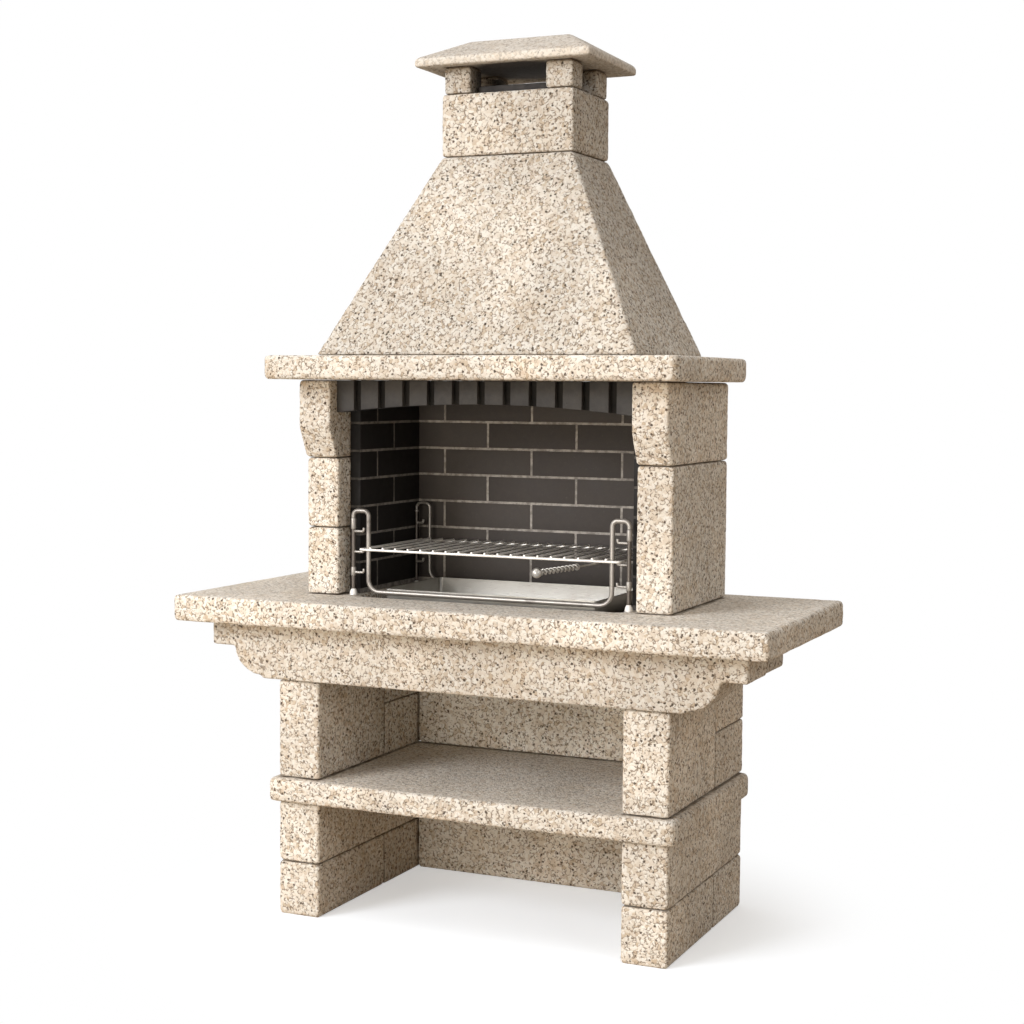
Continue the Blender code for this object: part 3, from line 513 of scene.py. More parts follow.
    def material(self, name: str, seed: int, grain: Grain = Grain.COARSE,
                 smoke_and_reflection_darkening: bool = False) -> bpy.types.Material:
        """Mixes the stone for one piece.

        Args:
            name: The piece's name.
            seed: Number that picks its place in the pattern.
            grain: Whether the whole piece is coarse or fine.
            smoke_and_reflection_darkening: Whether smoky fumes from the flue have stained it.

        Returns:
            The material.
        """
        graph, at = open_material(name + "_stone", seed)
        stone, height = self.grains(graph, at)
        tone = next((tone for key, tone in self.batches if key in name), 1.0)
        stone = self.aged(graph, at, stone, tone, grain)
        if smoke_and_reflection_darkening:
            below = graph.span(graph.facing("Z"), self.smoke_slope, (self.smoke_share, 0.0))
            stain = graph.maths("MULTIPLY", graph.near_axis(self.flue, self.smoke_reach), below)
            stone = graph.mix(stain, stone, self.smoke)
        # The joints darken towards the shadow colour: dirt and painted shade between the blocks.
        joint = graph.maths("MULTIPLY", graph.span(graph.mark("bed"), self.bed),
                            graph.noise(at, self.mortar))
        normal = graph.relief(height, self.relief_depth * grain.value)
        normal = graph.relief(graph.noise(at, self.pits), self.relief_depth * self.pit_share,
                              normal)
        return graph.dress(Base_Color=graph.mix(joint, stone, self.shadow), Normal=normal,
                           Specular_IOR_Level=self.specular,
                           Roughness=graph.noise(at, self.grit))


@dataclass(frozen=True)
class Firebrick:
    """Smooth dark firebrick with a pale cement joint."""

    dark: Colour = (0.049, 0.0415, 0.0375)
    light: Colour = (0.078, 0.068, 0.061)
    tint_share: float = 0.62
    clouds: Mottle = Mottle(26.0, 4.0, 0.6)
    cloud: Span = (0.3, 0.7)
    cloud_shares: Span = (0.0, 0.38)
    polish: Span = (0.58, 0.74)
    dust: Mottle = Mottle(240.0, 3.0, 0.7, (0.60, 0.76), (0.0, 0.22))
    pores: Mottle = Mottle(420.0, 3.0, 0.6)
    pore_depth: float = 0.00035
    waves: Mottle = Mottle(45.0)
    wave_depth: float = 0.0006
    specular: float = 0.20
    joint_dark: Colour = (0.21, 0.19, 0.17)
    joint_light: Colour = (0.42, 0.385, 0.345)
    joint_clouds: Mottle = Mottle(60.0, 4.0, 0.65, (0.35, 0.65))
    joint_sand: Mottle = Mottle(700.0, 3.0, 0.7)
    joint_depth: float = 0.0006
    joint_roughness: float = 0.92
    soot: Colour = (0.006, 0.005, 0.0045)
    end: Span = (-0.9, -0.5)
    end_soot: float = 0.75
    slot: str = "firebrick"

    def shaded(self, graph: Graph, paint: Socket, soot: float) -> Socket:
        """Dulls a colour by a sooty, partly painted shade, and paints more shade on a darkened
        wall's front end.

        Args:
            graph: The nodes of the brick or of the joint.
            paint: Its clean colour.
            soot: How dark the wall is, sooty and in painted shade, from 0 to 1.

        Returns:
            The dulled colour.
        """
        paint = graph.mix(soot, paint, self.soot)
        # Painted shade: a darkened wall's front end gets darker still.
        end = graph.span(graph.facing("Y"), self.end, (self.end_soot if soot else 0.0, 0.0))
        return graph.mix(end, paint, self.soot)

    def brick(self, name: str, seed: int, soot: float) -> bpy.types.Material:
        """Fires the brick of one wall; the tint attribute tells its bricks apart.

        Args:
            name: The piece's name.
            seed: Number that picks its place in the pattern.
            soot: How dark the wall is, sooty and in painted shade, from 0 to 1.

        Returns:
            The material.
        """
        graph, at = open_material(name + "_brick", seed)
        cloud = graph.noise(at, self.clouds)
        share = graph.maths("ADD", graph.maths("MULTIPLY", graph.mark("tint"), self.tint_share),
                            graph.span(cloud, self.cloud, self.cloud_shares))
        brick = graph.mix(graph.noise(at, self.dust), graph.mix(share, self.dark, self.light),
                          self.joint_dark)
        normal = graph.relief(graph.noise(at, self.pores), self.pore_depth)
        normal = graph.relief(graph.noise(at, self.waves), self.wave_depth, normal)
        return graph.dress(Base_Color=self.shaded(graph, brick, soot), Normal=normal,
                           Specular_IOR_Level=self.specular,
                           Roughness=graph.span(cloud, self.cloud, self.polish))

    def joint(self, name: str, seed: int, soot: float) -> bpy.types.Material:
        """Mixes the cement of the joints.

        Args:
            name: The piece's name.
            seed: Number that picks its place in the pattern.
            soot: How dark the wall is, sooty and in painted shade, from 0 to 1.

        Returns:
            The material.
        """
        graph, at = open_material(name + "_joint", seed)
        cement = graph.mix(graph.noise(at, self.joint_clouds), self.joint_dark, self.joint_light)
        normal = graph.relief(graph.noise(at, self.joint_sand), self.joint_depth)
        return graph.dress(Base_Color=self.shaded(graph, cement, soot), Normal=normal,
                           Roughness=self.joint_roughness)


@dataclass(frozen=True)
class Cement:
    """Matt cement or glazed clay in two close shades, with pores."""

    dark: Colour
    light: Colour
    roughness: float
    pores_per_metre: float
    slot: str
    clouds: Mottle = Mottle(18.0, 4.0, 0.62, (0.30, 0.70))
    dryness: float = 0.1
    pore: Span = (0.06, 0.22)
    pore_share: float = 0.4
    pore_depth: float = 0.0006
    sand: Mottle = Mottle(380.0, 3.0, 0.6)
    sand_depth: float = 0.0005
    specular: float = 0.30

    def material(self, name: str, seed: int) -> bpy.types.Material:
        """Mixes the cement for one piece.

        Args:
            name: The piece's name.
            seed: Number that picks its place in the pattern.

        Returns:
            The material.
        """
        graph, at = open_material(name + "_cement", seed)
        cloud = graph.noise(at, self.clouds)
        pore = graph.span(graph.cells(at, self.pores_per_metre).outputs["Distance"], self.pore,
                          FALLING)
        paste = graph.mix(graph.maths("MULTIPLY", pore, self.pore_share),
                          graph.mix(cloud, self.dark, self.light), self.dark)
        normal = graph.relief(graph.noise(at, self.sand), self.sand_depth)
        normal = graph.relief(graph.maths("SUBTRACT", 1.0, pore), self.pore_depth, normal)
        driest = min(1.0, self.roughness + self.dryness)
        return graph.dress(Base_Color=paste, Normal=normal, Specular_IOR_Level=self.specular,
                           Roughness=graph.span(cloud, RISING, (self.roughness, driest)))


@dataclass(frozen=True)
class SatinSheet:
    """Pale satin stainless sheet with a rolled grain and faint heat stains."""

    steel: Colour = (0.41, 0.395, 0.365)
    stain: Colour = (0.28, 0.24, 0.195)
    patches: Mottle = Mottle(11.0, 4.0, 0.6, (0.48, 0.70), (0.0, 0.45))
    stretch: Triple = (0.02, 1.0, 1.0)
    rolled: Mottle = Mottle(1400.0)
    grain: Span = (0.3, 0.7)
    grain_shares: Span = (0.0, 0.12)
    grain_depth: float = 0.00006
    satin: Span = (0.25, 0.75)
    satin_shares: Span = (0.27, 0.42)
    slot: str = "tray_steel"

    def material(self, name: str, seed: int) -> bpy.types.Material:
        """Rolls the sheet for one piece.

        Args:
            name: The piece's name.
            seed: Number that picks the place of its stains.

        Returns:
            The material.
        """
        graph, at = open_material(name + "_sheet", seed)
        along = graph.give("ShaderNodeMapping", graph.here(), (0, 0, 0), (0, 0, 0), self.stretch)
        rolled = graph.noise(along, self.rolled)
        steel = graph.mix(graph.noise(at, self.patches), self.steel, self.stain)
        grain = graph.span(rolled, self.grain, self.grain_shares)
        return graph.dress(Base_Color=graph.mix(grain, steel, self.stain), Metallic=1.0,
                           Roughness=graph.span(rolled, self.satin, self.satin_shares),
                           Normal=graph.relief(rolled, self.grain_depth))


@dataclass(frozen=True)
class BrightRod:
    """Drawn steel rod with smoky bands where the fire has touched it; on a post's shaft the same
    dark colour is a painted dark reflection.
    """

    steel: Colour = (0.33, 0.305, 0.275)
    smoke: Colour = (0.105, 0.088, 0.075)
    polish: Span = (0.32, 0.44)
    metallic: float = 0.55
    band_waves: float = 15.0
    band: Span = (0.50, 0.74)
    band_share: float = 0.85
    draw_marks: Mottle = Mottle(520.0, 3.0, 0.6)
    mark: Span = (0.25, 0.75)
    mark_depth: float = 0.00008
    slot: str = "rod_steel"

    def material(self, name: str, seed: int, smoke_and_reflection_darkening: float = 0.0) -> bpy.types.Material:
        """Draws the rod for one piece.

        Args:
            name: The piece's name.
            seed: Number that picks the place of its bands.
            smoke_and_reflection_darkening: Least share of the dark colour on the whole rod; on a
                post's shaft it is a painted dark reflection.

        Returns:
            The material.
        """
        graph, at = open_material(name + "_rod", seed)
        shares = (smoke_and_reflection_darkening, max(smoke_and_reflection_darkening, self.band_share))
        band = graph.noise(at, Mottle(self.band_waves, 4.0, 0.6, self.band, shares))
        marks = graph.noise(at, self.draw_marks)
        return graph.dress(Base_Color=graph.mix(band, self.steel, self.smoke),
                           Metallic=self.metallic,
                           Roughness=graph.span(marks, self.mark, self.polish),
                           Normal=graph.relief(marks, self.mark_depth))


STONE = CastStone()
BRICK = Firebrick()
LINTEL_CLAY = Cement((0.035, 0.032, 0.030), (0.063, 0.058, 0.053), 0.52, 300.0, "lintel_brick")
# Near-black bedding cement: painted shade in the grooves between the lintel's bricks.
SHADED_BEDDING = Cement((0.010, 0.009, 0.008), (0.024, 0.022, 0.020), 0.90, 260.0, "lintel_brick")
HEARTH_CLAY = Cement((0.075, 0.062, 0.052), (0.16, 0.14, 0.12), 0.88, 160.0, "refractory")
FLUE_CLAY = Cement((0.020, 0.018, 0.017), (0.060, 0.055, 0.052), 0.84, 220.0, "flue_cement")
SHEET = SatinSheet()
ROD = BrightRod()
WIRE = BrightRod((0.90, 0.88, 0.84), (0.62, 0.59, 0.54), (0.34, 0.46), 0.15)
GRIP = BrightRod((0.40, 0.375, 0.34), (0.15, 0.13, 0.11), (0.30, 0.42), 0.85)


# Shared building


def seed_of(name: str) -> int:
    """A fixed number for a name, the same in every run."""
    return sum((index + 1) * ord(letter) for index, letter in enumerate(name))


def mesh_of(name: str, shape: Shape, sharp: float = 40.0) -> bpy.types.Mesh:
    """Closes a bmesh into a smooth-shaded mesh that keeps its sharp edges.

    Args:
        name: The mesh's name.
        shape: The bmesh, which is freed.
        sharp: Angle in degrees over which an edge stays sharp.

    Returns:
        The mesh.
    """
    bmesh.ops.recalc_face_normals(shape, faces=shape.faces[:])
    mesh = bpy.data.meshes.new(name)
    shape.to_mesh(mesh)
    shape.free()
    mesh.shade_smooth()
    mesh.set_sharp_from_angle(angle=math.radians(sharp))
    return mesh


def linked(name: str, data: bpy.types.ID) -> bpy.types.Object:
    """Makes an object and links it to the scene.

    Args:
        name: The object's name.
        data: Its mesh, lamp or camera.

    Returns:
        The object.
    """
    made = bpy.data.objects.new(name, data)
    bpy.context.scene.collection.objects.link(made)
    return made


def add_piece(name: str, mesh: bpy.types.Mesh, materials: list[bpy.types.Material], slot: str,
              body: Body, *nodes: str) -> None:
    """Puts a finished piece on its body, in place of the solids that it stands for.

    Args:
        name: The piece's name.
        mesh: Its mesh, in the shared frame.
        materials: Its materials, in the order of the mesh's material indices.
        slot: The record's material slot; not used.
        body: The body it rides on.
        *nodes: The solids that it replaces.
    """
    piece = linked(name, mesh)
    for material in materials:
        mesh.materials.append(material)
    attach(piece, body.value)
    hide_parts(*nodes)
    log.info("%s: %d faces, on %s", name, len(mesh.polygons), body.value)


def box_between(shape: Shape, low: Vector, high: Vector) -> list[bmesh.types.BMVert]:
    """Adds a box between two opposite corners.

    Args:
        shape: The bmesh to add it to.
        low: Lowest corner.
        high: Highest corner.

    Returns:
        Its eight corners.
    """
    made = bmesh.ops.create_cube(shape, size=1)["verts"]
    bmesh.ops.scale(shape, vec=high - low, verts=made)
    bmesh.ops.translate(shape, vec=(low + high) / 2, verts=made)
    return made


def ease_edges(shape: Shape, edges: list[bmesh.types.BMEdge], width: float,
               segments: int = 2) -> None:
    """Rounds edges.

    Args:
        shape: The bmesh that holds them.
        edges: The edges.
        width: Width of the rounding.
        segments: Facets across it.
    """
    bmesh.ops.bevel(shape, geom=edges, offset=width, segments=segments, profile=0.5,
                    affect="EDGES", material=-1)


def arc(radius: float, height: float, level: float, angles: Span, steps: int) -> list[Span]:
    """Points along an arc of an upright oval on the Z axis.

    Args:
        radius: Half of its width.
        height: Half of its height.
        level: Level of its middle.
        angles: Where the arc starts and ends, from the top.
        steps: Facets along it.

    Returns:
        Points of radius and height.
    """
    first, last = angles
    turns = [first + (last - first) * step / steps for step in range(steps + 1)]
    return [(radius * math.sin(turn), level + height * math.cos(turn)) for turn in turns]


def turned(shape: Shape, profile: list[Span], steps: int = 32, merge: float = 1e-5) -> None:
    """Spins a profile of radius and height, from axis to axis, about the Z axis.

    Args:
        shape: The bmesh to add it to.
        profile: The profile's points.
        steps: Facets round the axis.
        merge: Distance under which points on the axis become one.
    """
    points = [shape.verts.new((radius, 0, height)) for radius, height in profile]
    edges = [shape.edges.new(pair) for pair in zip(points, points[1:])]
    bmesh.ops.spin(shape, geom=points + edges, axis=(0, 0, 1), cent=(0, 0, 0), angle=math.tau,
                   steps=steps, use_merge=True)
    bmesh.ops.remove_doubles(shape, verts=shape.verts[:], dist=merge)


class BentRod:
    """A round rod made as a smith makes it: run straight, bend, run on, cut off."""

    def __init__(self, shape: Shape, radius: float, start: Vector, heading: Vector,
                 facets: int = 20) -> None:
        """Sets the rod's first end.

        Args:
            shape: The bmesh that the rod grows in.
            radius: Radius of the rod.
            start: Middle of its first end.
            heading: Direction in which it leaves.
            facets: Facets round it.
        """
        self.shape = shape
        self.at = Vector(start)
        self.heading = Vector(heading).normalized()
        turn = self.heading.to_track_quat("Z", "Y").to_matrix().to_4x4()
        made = bmesh.ops.create_circle(shape, cap_ends=True, radius=radius, segments=facets,
                                       matrix=Matrix.Translation(self.at) @ turn)["verts"]
        self.ring = [edge for edge in {edge for vert in made for edge in vert.link_edges}
                     if all(vert in made for vert in edge.verts)]

    def run(self, length: float) -> "BentRod":
        """Runs on straight.

        Args:
            length: How far.

        Returns:
            The rod itself.
        """
        grown = bmesh.ops.extrude_edge_only(self.shape, edges=self.ring)["geom"]
        moved = [part for part in grown if isinstance(part, bmesh.types.BMVert)]
        bmesh.ops.translate(self.shape, vec=self.heading * length, verts=moved)
        self.ring = [part for part in grown if isinstance(part, bmesh.types.BMEdge)
                     and all(vert in moved for vert in part.verts)]
        self.at += self.heading * length
        return self

    def bend(self, towards: Vector, radius: float, angle: float = math.pi / 2,
             steps: int = 10) -> "BentRod":
        """Bends towards a direction square to the heading.

        Args:
            towards: Direction in which the bend's centre lies.
            radius: Radius of the bend's middle line.
            angle: Angle of the bend.
            steps: Facets along it.

        Returns:
            The rod itself.
        """
        side = Vector(towards).normalized()
        axis = self.heading.cross(side)
        centre = self.at + side * radius
        bmesh.ops.spin(self.shape, geom=self.ring, cent=centre, axis=axis, angle=angle,
                       steps=steps, use_merge=False)
        swing = Matrix.Rotation(angle, 3, axis)
        self.at = centre + swing @ (self.at - centre)
        self.heading = (swing @ self.heading).normalized()
        self.ring = self.open_ring()
        return self

    def open_ring(self, flat: float = 1e-5, near: float = 0.02) -> list[bmesh.types.BMEdge]:
        """The open edges at the rod's growing end.

        Args:
            flat: How far they may lie before or behind it.
            near: How far they may lie from its middle.

        Returns:
            The edges.
        """
        return [edge for edge in self.shape.edges if len(edge.link_faces) == 1
                and abs((edge.verts[0].co - self.at).dot(self.heading)) < flat
                and (edge.verts[0].co - self.at).length < near]

    def cut(self, ease: float = 0.0006) -> None:
        """Closes the growing end with a face.

        Args:
            ease: Width of the rounding of its edge.
        """
        cap = bmesh.ops.contextual_create(self.shape, geom=self.ring)["faces"]
        if ease:
            ease_edges(self.shape, list({edge for face in cap for edge in face.edges}), ease)


# Stone


@dataclass(frozen=True)
class Hewing:
    """How a cast block's faces and arrises are roughened.

    An arris is a corner whose faces turn away from its normal: its share grows from nothing at
    the cosine called flat to all of it one bend further on.
    """

    facet: float = 0.0048
    swell: float = 0.0007
    swell_length: float = 0.085
    pitting: float = 0.0009
    pitting_length: float = 0.013
    arris: float = 0.0012
    wear: float = 0.0021
    wear_length: float = 0.018
    bite: float = 0.0034
    bite_length: float = 0.034
    bite_gain: float = 3.2
    bite_limit: float = 2.1
    contrast: float = 1.3
    reach: float = 40.0
    top_normal: float = 0.9
    top_share: float = 0.30
    foot_height: float = 0.004
    foot_normal: float = -0.7
    flat: float = 0.985
    bend: float = 0.10
    spreads: int = 2
    fading: float = 0.9
    sharp: float = 34.0


def column(parts: bpy.types.bpy_prop_collection, key: str, width: int = 1,
           kind: type = np.float32) -> np.ndarray:
    """Reads one property of all corners, edges, faces or loops of a mesh.

    Args:
        parts: The corners, edges, faces or loops.
        key: The property's name.
        width: How many numbers it has.
        kind: The type of its numbers.

    Returns:
        One number or one row for each part.
    """
    values = np.empty(len(parts) * width, kind)
    parts.foreach_get(key, values)
    return values.reshape(-1, width) if width > 1 else values


@dataclass(frozen=True)
class StoneMason:
    """Turns the clean cast solids into hammered blocks with worn, uneven arrises."""

    hewing: Hewing
    filled: frozenset[str] = frozenset({"hood", "mantel_slab"})
    filled_joint: float = 0.35
    bed_reach: float = 0.0015
    ground: float = 0.01
    merge: float = 1e-5

    def cast(self, node: str, facet: float) -> bpy.types.Mesh:
        """Copies a solid and gives it an even skin of small facets.

        Args:
            node: The solid's name.
            facet: Size of the facets.

        Returns:
            The new mesh.
        """
        shape = bmesh.new()
        shape.from_mesh(frame["nodes"][node].data)
        bmesh.ops.remove_doubles(shape, verts=shape.verts[:], dist=self.merge)
        rough = bpy.data.meshes.new(node + "_cast")
        shape.to_mesh(rough)
        shape.free()
        block = linked(node + "_cast", rough)
        skin = block.modifiers.new("skin", "REMESH")
        skin.mode = "VOXEL"
        skin.voxel_size = facet
        graph = bpy.context.evaluated_depsgraph_get()
        mesh = bpy.data.meshes.new_from_object(block.evaluated_get(graph))
        bpy.data.objects.remove(block)
        bpy.data.meshes.remove(rough)
        return mesh

    def arris_share(self, mesh: bpy.types.Mesh, normals: np.ndarray) -> np.ndarray:
        """How much each corner of a mesh lies on an arris, from 0 to 1, spread a little.

        Args:
            mesh: The mesh.
            normals: Its corners' normals.

        Returns:
            One share for each corner.
        """
        loops = column(mesh.loops, "vertex_index", kind=np.int32)
        counts = column(mesh.polygons, "loop_total", kind=np.int32)
        facing = np.repeat(column(mesh.polygons, "normal", 3), counts, axis=0)
        flat = np.ones(len(normals))
        np.minimum.at(flat, loops, (normals[loops] * facing).sum(1))
        share = np.clip((self.hewing.flat - flat) / self.hewing.bend, 0, 1)
        first, second = column(mesh.edges, "vertices", 2, np.int32).T
        for _ in range(self.hewing.spreads):
            total, near = share.copy(), np.ones(len(share))
            for corner, neighbour in ((first, second), (second, first)):
                np.add.at(total, corner, share[neighbour])
                np.add.at(near, corner, 1)
            share = np.maximum(share * self.hewing.fading, total / near)
        return share

    def hew(self, mesh: bpy.types.Mesh, seed: int, ground: float | None) -> None:
        """Moves a mesh's corners inwards only, so that a block never outgrows its solid.

        Args:
            mesh: The mesh, which is changed.
            seed: Number that picks the block's place in the pattern.
            ground: Level of the floor under the block, whose corners stay, if it stands on it.
        """
        hewing = self.hewing
        points = column(mesh.vertices, "co", 3)
        normals = column(mesh.vertices, "normal", 3)
        draw = random.Random(seed)
        shift = Vector([draw.uniform(0, hewing.reach) for _ in range(3)])

        def pattern(length: float) -> np.ndarray:
            """Noise from 0 to 1 whose waves have a length."""
            values = [noise.noise(Vector(point) / length + shift) for point in points]
            return np.clip(0.5 + 0.5 * np.array(values) * hewing.contrast, 0, 1)

        share = self.arris_share(mesh, normals)
        worn = pattern(hewing.wear_length)
        bitten = pattern(hewing.bite_length) * hewing.bite_gain - hewing.bite_limit
        face = (hewing.swell * pattern(hewing.swell_length)
                + hewing.pitting * pattern(hewing.pitting_length))
        face *= np.where(normals[:, 2] > hewing.top_normal, hewing.top_share, 1.0)
        loss = hewing.arris + hewing.wear * worn ** 2 + hewing.bite * np.clip(bitten, 0, 1)
        depth = face + share * loss
        if ground is not None:
            low = points[:, 2] < ground + hewing.foot_height
            depth[low & (normals[:, 2] < hewing.foot_normal)] = 0
        moved = points - normals * depth[:, None]
        mesh.vertices.foreach_set("co", moved.astype(np.float32).ravel())
        mesh.shade_smooth()
        mesh.update()
        mesh.set_sharp_from_angle(angle=math.radians(hewing.sharp))

    def mark_beds(self, mesh: bpy.types.Mesh, node: str) -> None:
        """Marks the corners of a block that lie against a neighbour, where the joints get dirt and
        painted shade.

        Args:
            mesh: The block's mesh, before it is hewn.
            node: The block's name.
        """
        points = column(mesh.vertices, "co", 3)
        bed = np.zeros(len(points))
        for part in frame["record"]["subparts"]:
            other = part["node"]
            if other == node or part["material_slot"] not in (STONE.slot, BRICK.slot):
                continue
            low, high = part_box(other)
            near = ((points > np.array(low) - self.bed_reach)
                    & (points < np.array(high) + self.bed_reach))
            dark = self.filled_joint if {node, other} == self.filled else 1.0
            bed = np.maximum(bed, dark * near.all(axis=1))
        mark = mesh.attributes.new("bed", "FLOAT", "POINT")
        mark.data.foreach_set("value", bed.astype(np.float32))

    def dress(self, node: str, grain: Grain = Grain.COARSE, facet_share: float = 1.0) -> None:
        """Replaces one solid by its hewn block.

        Args:
            node: The solid's name.
            grain: The stone's grain.
            facet_share: Facet size as a share of the usual one.
        """
        seed = seed_of(node)
        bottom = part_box(node)[0].z
        mesh = self.cast(node, self.hewing.facet * facet_share)
        self.mark_beds(mesh, node)
        self.hew(mesh, seed, bottom if bottom < self.ground else None)
        smoke_and_reflection_darkening = node.startswith("cap_block") or grain is Grain.FINE
        stone = STONE.material(node, seed, grain, smoke_and_reflection_darkening)
        add_piece(node + "_hewn", mesh, [stone], STONE.slot, Body.MASONRY, node)


@dataclass
class Masonry:
    """Every cast-stone block and slab, from the ground to the cap."""

    mason: StoneMason = field(default_factory=lambda: StoneMason(Hewing()))
    finisher: StoneMason = field(default_factory=lambda: StoneMason(Hewing(
        facet=0.0030, pitting=0.0004, arris=0.0001, wear=0.0007, bite=0.0018)))
    small_block: float = 0.25
    small_facet_share: float = 0.70
    slab_facet_share: float = 1.15
    slabs: tuple[str, ...] = ("table_slab", "hood", "mantel_slab", "shelf_slab")
    fine: tuple[str, ...] = ("chimney_cap",)

    def build(self) -> None:
        """Hews all solids whose slot is the cast stone."""
        for part in frame["record"]["subparts"]:
            if part["material_slot"] != STONE.slot:
                continue
            node = part["node"]
            low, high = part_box(node)
            share = 1.0
            if node in self.slabs:
                share = self.slab_facet_share
            elif max(high - low) < self.small_block:
                share = self.small_facet_share
            if node in self.fine:
                self.finisher.dress(node, Grain.FINE)
            else:
                self.mason.dress(node, Grain.COARSE, share)


# Firebox


@dataclass
class Lining:
    """The firebrick lining of the firebox, laid in running bond."""

    course: float = 0.068
    module: float = 0.244
    joint: float = 0.0055
    bed: float = 0.0087
    recess: float = 0.0010
    # Darkening of each wall's bricks and joints, partly sooting and partly painted shade, deepest
    # on the left wall, which faces away from the key lamp.
    soot: dict[str, Span] = field(default_factory=lambda: {
        "lining_left": (0.86, 0.35), "lining_right": (0.50, 0.20), "lining_back": (0.0, 0.0)})
    ease: float = 0.0014
    ease_facets: int = 3
    sharp: float = 50.0
    jitter: float = 0.0005
    back_joint: float = -0.037
    side_joint: float = 0.0875
    side_shift: float = 0.087

    def courses(self, bottom: float, top: float) -> list[Span]:
        """Bottom and top of each course of a wall.

        Args:
            bottom: The wall's lowest level.
            top: The wall's highest level.

        Returns:
            The courses' spans.
        """
        level = bottom + self.bed + self.joint / 2
        levels = []
        while level + self.joint < top:
            levels.append((level, min(level + self.course - self.joint, top)))
            level += self.course
        return levels

    def bricks(self, start: float, end: float, joints: list[float]) -> list[Span]:
        """Start and end of each brick of a course.

        Args:
            start: Start of the wall.
            end: End of the wall.
            joints: Upright joints that may fall inside it.

        Returns:
            The bricks' spans.
        """
        inner = [joint for joint in joints if start + self.joint < joint < end - self.joint]
        starts = [start, *[joint + self.joint / 2 for joint in inner]]
        ends = [*[joint - self.joint / 2 for joint in inner], end]
        return list(zip(starts, ends))

    def wall(self, node: str, start: float, end: float, bond: tuple[list[float], list[float]],
             place: Matrix, thickness: float) -> None:
        """Lays one wall, which runs along its own X and faces its own -Y.

        Args:
            node: The solid that it replaces.
            start: Start of the wall.
            end: End of the wall.
            bond: Upright joints of the odd and of the even courses.
            place: Where the wall stands.
            thickness: Thickness of the wall.
        """
        low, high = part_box(node)
        seed = seed_of(node)
        draw = random.Random(seed)
        shape = bmesh.new()
        box_between(shape, Vector((start + self.recess, self.recess, low.z)),
                    Vector((end - self.recess, thickness - self.recess, high.z)))
        tints = [0.0] * len(shape.faces)
        for index, (bottom, top) in enumerate(self.courses(low.z, high.z)):
            for left, right in self.bricks(start, end, bond[index % 2]):
                brick = bmesh.new()
                sunk = draw.uniform(0, self.jitter)
                box_between(brick, Vector((left, sunk, bottom)),
                            Vector((right, thickness, top)))
                ease_edges(brick, brick.edges[:], self.ease, self.ease_facets)
                laid = bpy.data.meshes.new("brick")
                for face in brick.faces:
                    face.material_index = 1
                tints += [draw.random()] * len(brick.faces)
                brick.to_mesh(laid)
                brick.free()
                shape.from_mesh(laid)
                bpy.data.meshes.remove(laid)
        bmesh.ops.transform(shape, matrix=place, verts=shape.verts[:])
        mesh = mesh_of(node + "_laid", shape, self.sharp)
        tint = mesh.attributes.new("tint", "FLOAT", "FACE")
        tint.data.foreach_set("value", tints)
        on_brick, on_joint = self.soot[node]
        finishes = [BRICK.joint(node, seed, on_joint), BRICK.brick(node, seed, on_brick)]
        add_piece(node + "_laid", mesh, finishes, BRICK.slot, Body.MASONRY, node)

    def build(self) -> None:
        """Lays the back wall and both side walls."""
        low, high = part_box("lining_back")
        whole = [self.back_joint + self.module * step for step in (-1, 0, 1)]
        shifted = [joint + self.module / 2 for joint in whole]
        self.wall("lining_back", low.x, high.x, (whole, shifted),
                  Matrix.Translation((0, low.y, 0)), high.y - low.y)
        for side in Side:
            node = "lining_" + side.label
            low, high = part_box(node)
            near = low.y + self.side_joint
            bond = ([-side.value * near], [-side.value * (near + self.side_shift)])
            inside = min(abs(low.x), abs(high.x))
            turn = Matrix.Rotation(-side.value * math.pi / 2, 4, "Z")
            place = Matrix.Translation((side.value * inside, 0, 0)) @ turn
            first, last = sorted((-side.value * low.y, -side.value * high.y))
            self.wall(node, first, last, bond, place, high.x - low.x)


@dataclass
class Lintel:
    """The arched row of upright bricks over the opening."""

    count: int = 12
    joint: float = 0.0188
    proud: float = 0.017
    rise: float = 0.0226
    end_height: float = 0.0773
    ease: float = 0.0012

    def arch(self, across: float, half: float) -> float:
        """Height of the arch over its springing.

        Args:
            across: Place across the opening.
            half: Half of its span.

        Returns:
            The height.
        """
        radius = (half ** 2 + self.rise ** 2) / (2 * self.rise)
        return math.sqrt(radius ** 2 - across ** 2) - (radius - self.rise)

    def build(self) -> None:
        """Builds the bedding and the bricks that stand proud of it."""
        low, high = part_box("lintel")
        half = high.x
        springing = high.z - self.end_height
        width = (2 * half - (self.count - 1) * self.joint) / self.count
        shape = bmesh.new()
        box_between(shape, Vector((-half, low.y + self.proud, springing)),
                    Vector((half, high.y, high.z)))
        across = [edge for edge in shape.edges
                  if abs(edge.verts[0].co.x - edge.verts[1].co.x) > half]
        bmesh.ops.subdivide_edges(shape, edges=across, cuts=2 * self.count, use_grid_fill=True)
        # The recessed bedding takes the near-black cement, painted shade in the grooves.
        for face in shape.faces:
            face.material_index = 1
        for index in range(self.count):
            left = index * (width + self.joint) - half
            made = box_between(shape, Vector((left, low.y, springing)),
                               Vector((left + width, low.y + self.proud + self.ease, high.z)))
            edges = {edge for vert in made for edge in vert.link_edges}
            ease_edges(shape, list(edges), self.ease)
        for vert in shape.verts:
            share = (high.z - vert.co.z) / (high.z - springing)
            vert.co.z += share * self.arch(vert.co.x, half)
        seed = seed_of("lintel")
        finishes = [LINTEL_CLAY.material("lintel", seed), SHADED_BEDDING.material("lintel_bed", seed)]
        add_piece("lintel_laid", mesh_of("lintel_laid", shape), finishes, LINTEL_CLAY.slot,
                  Body.MASONRY, "lintel")


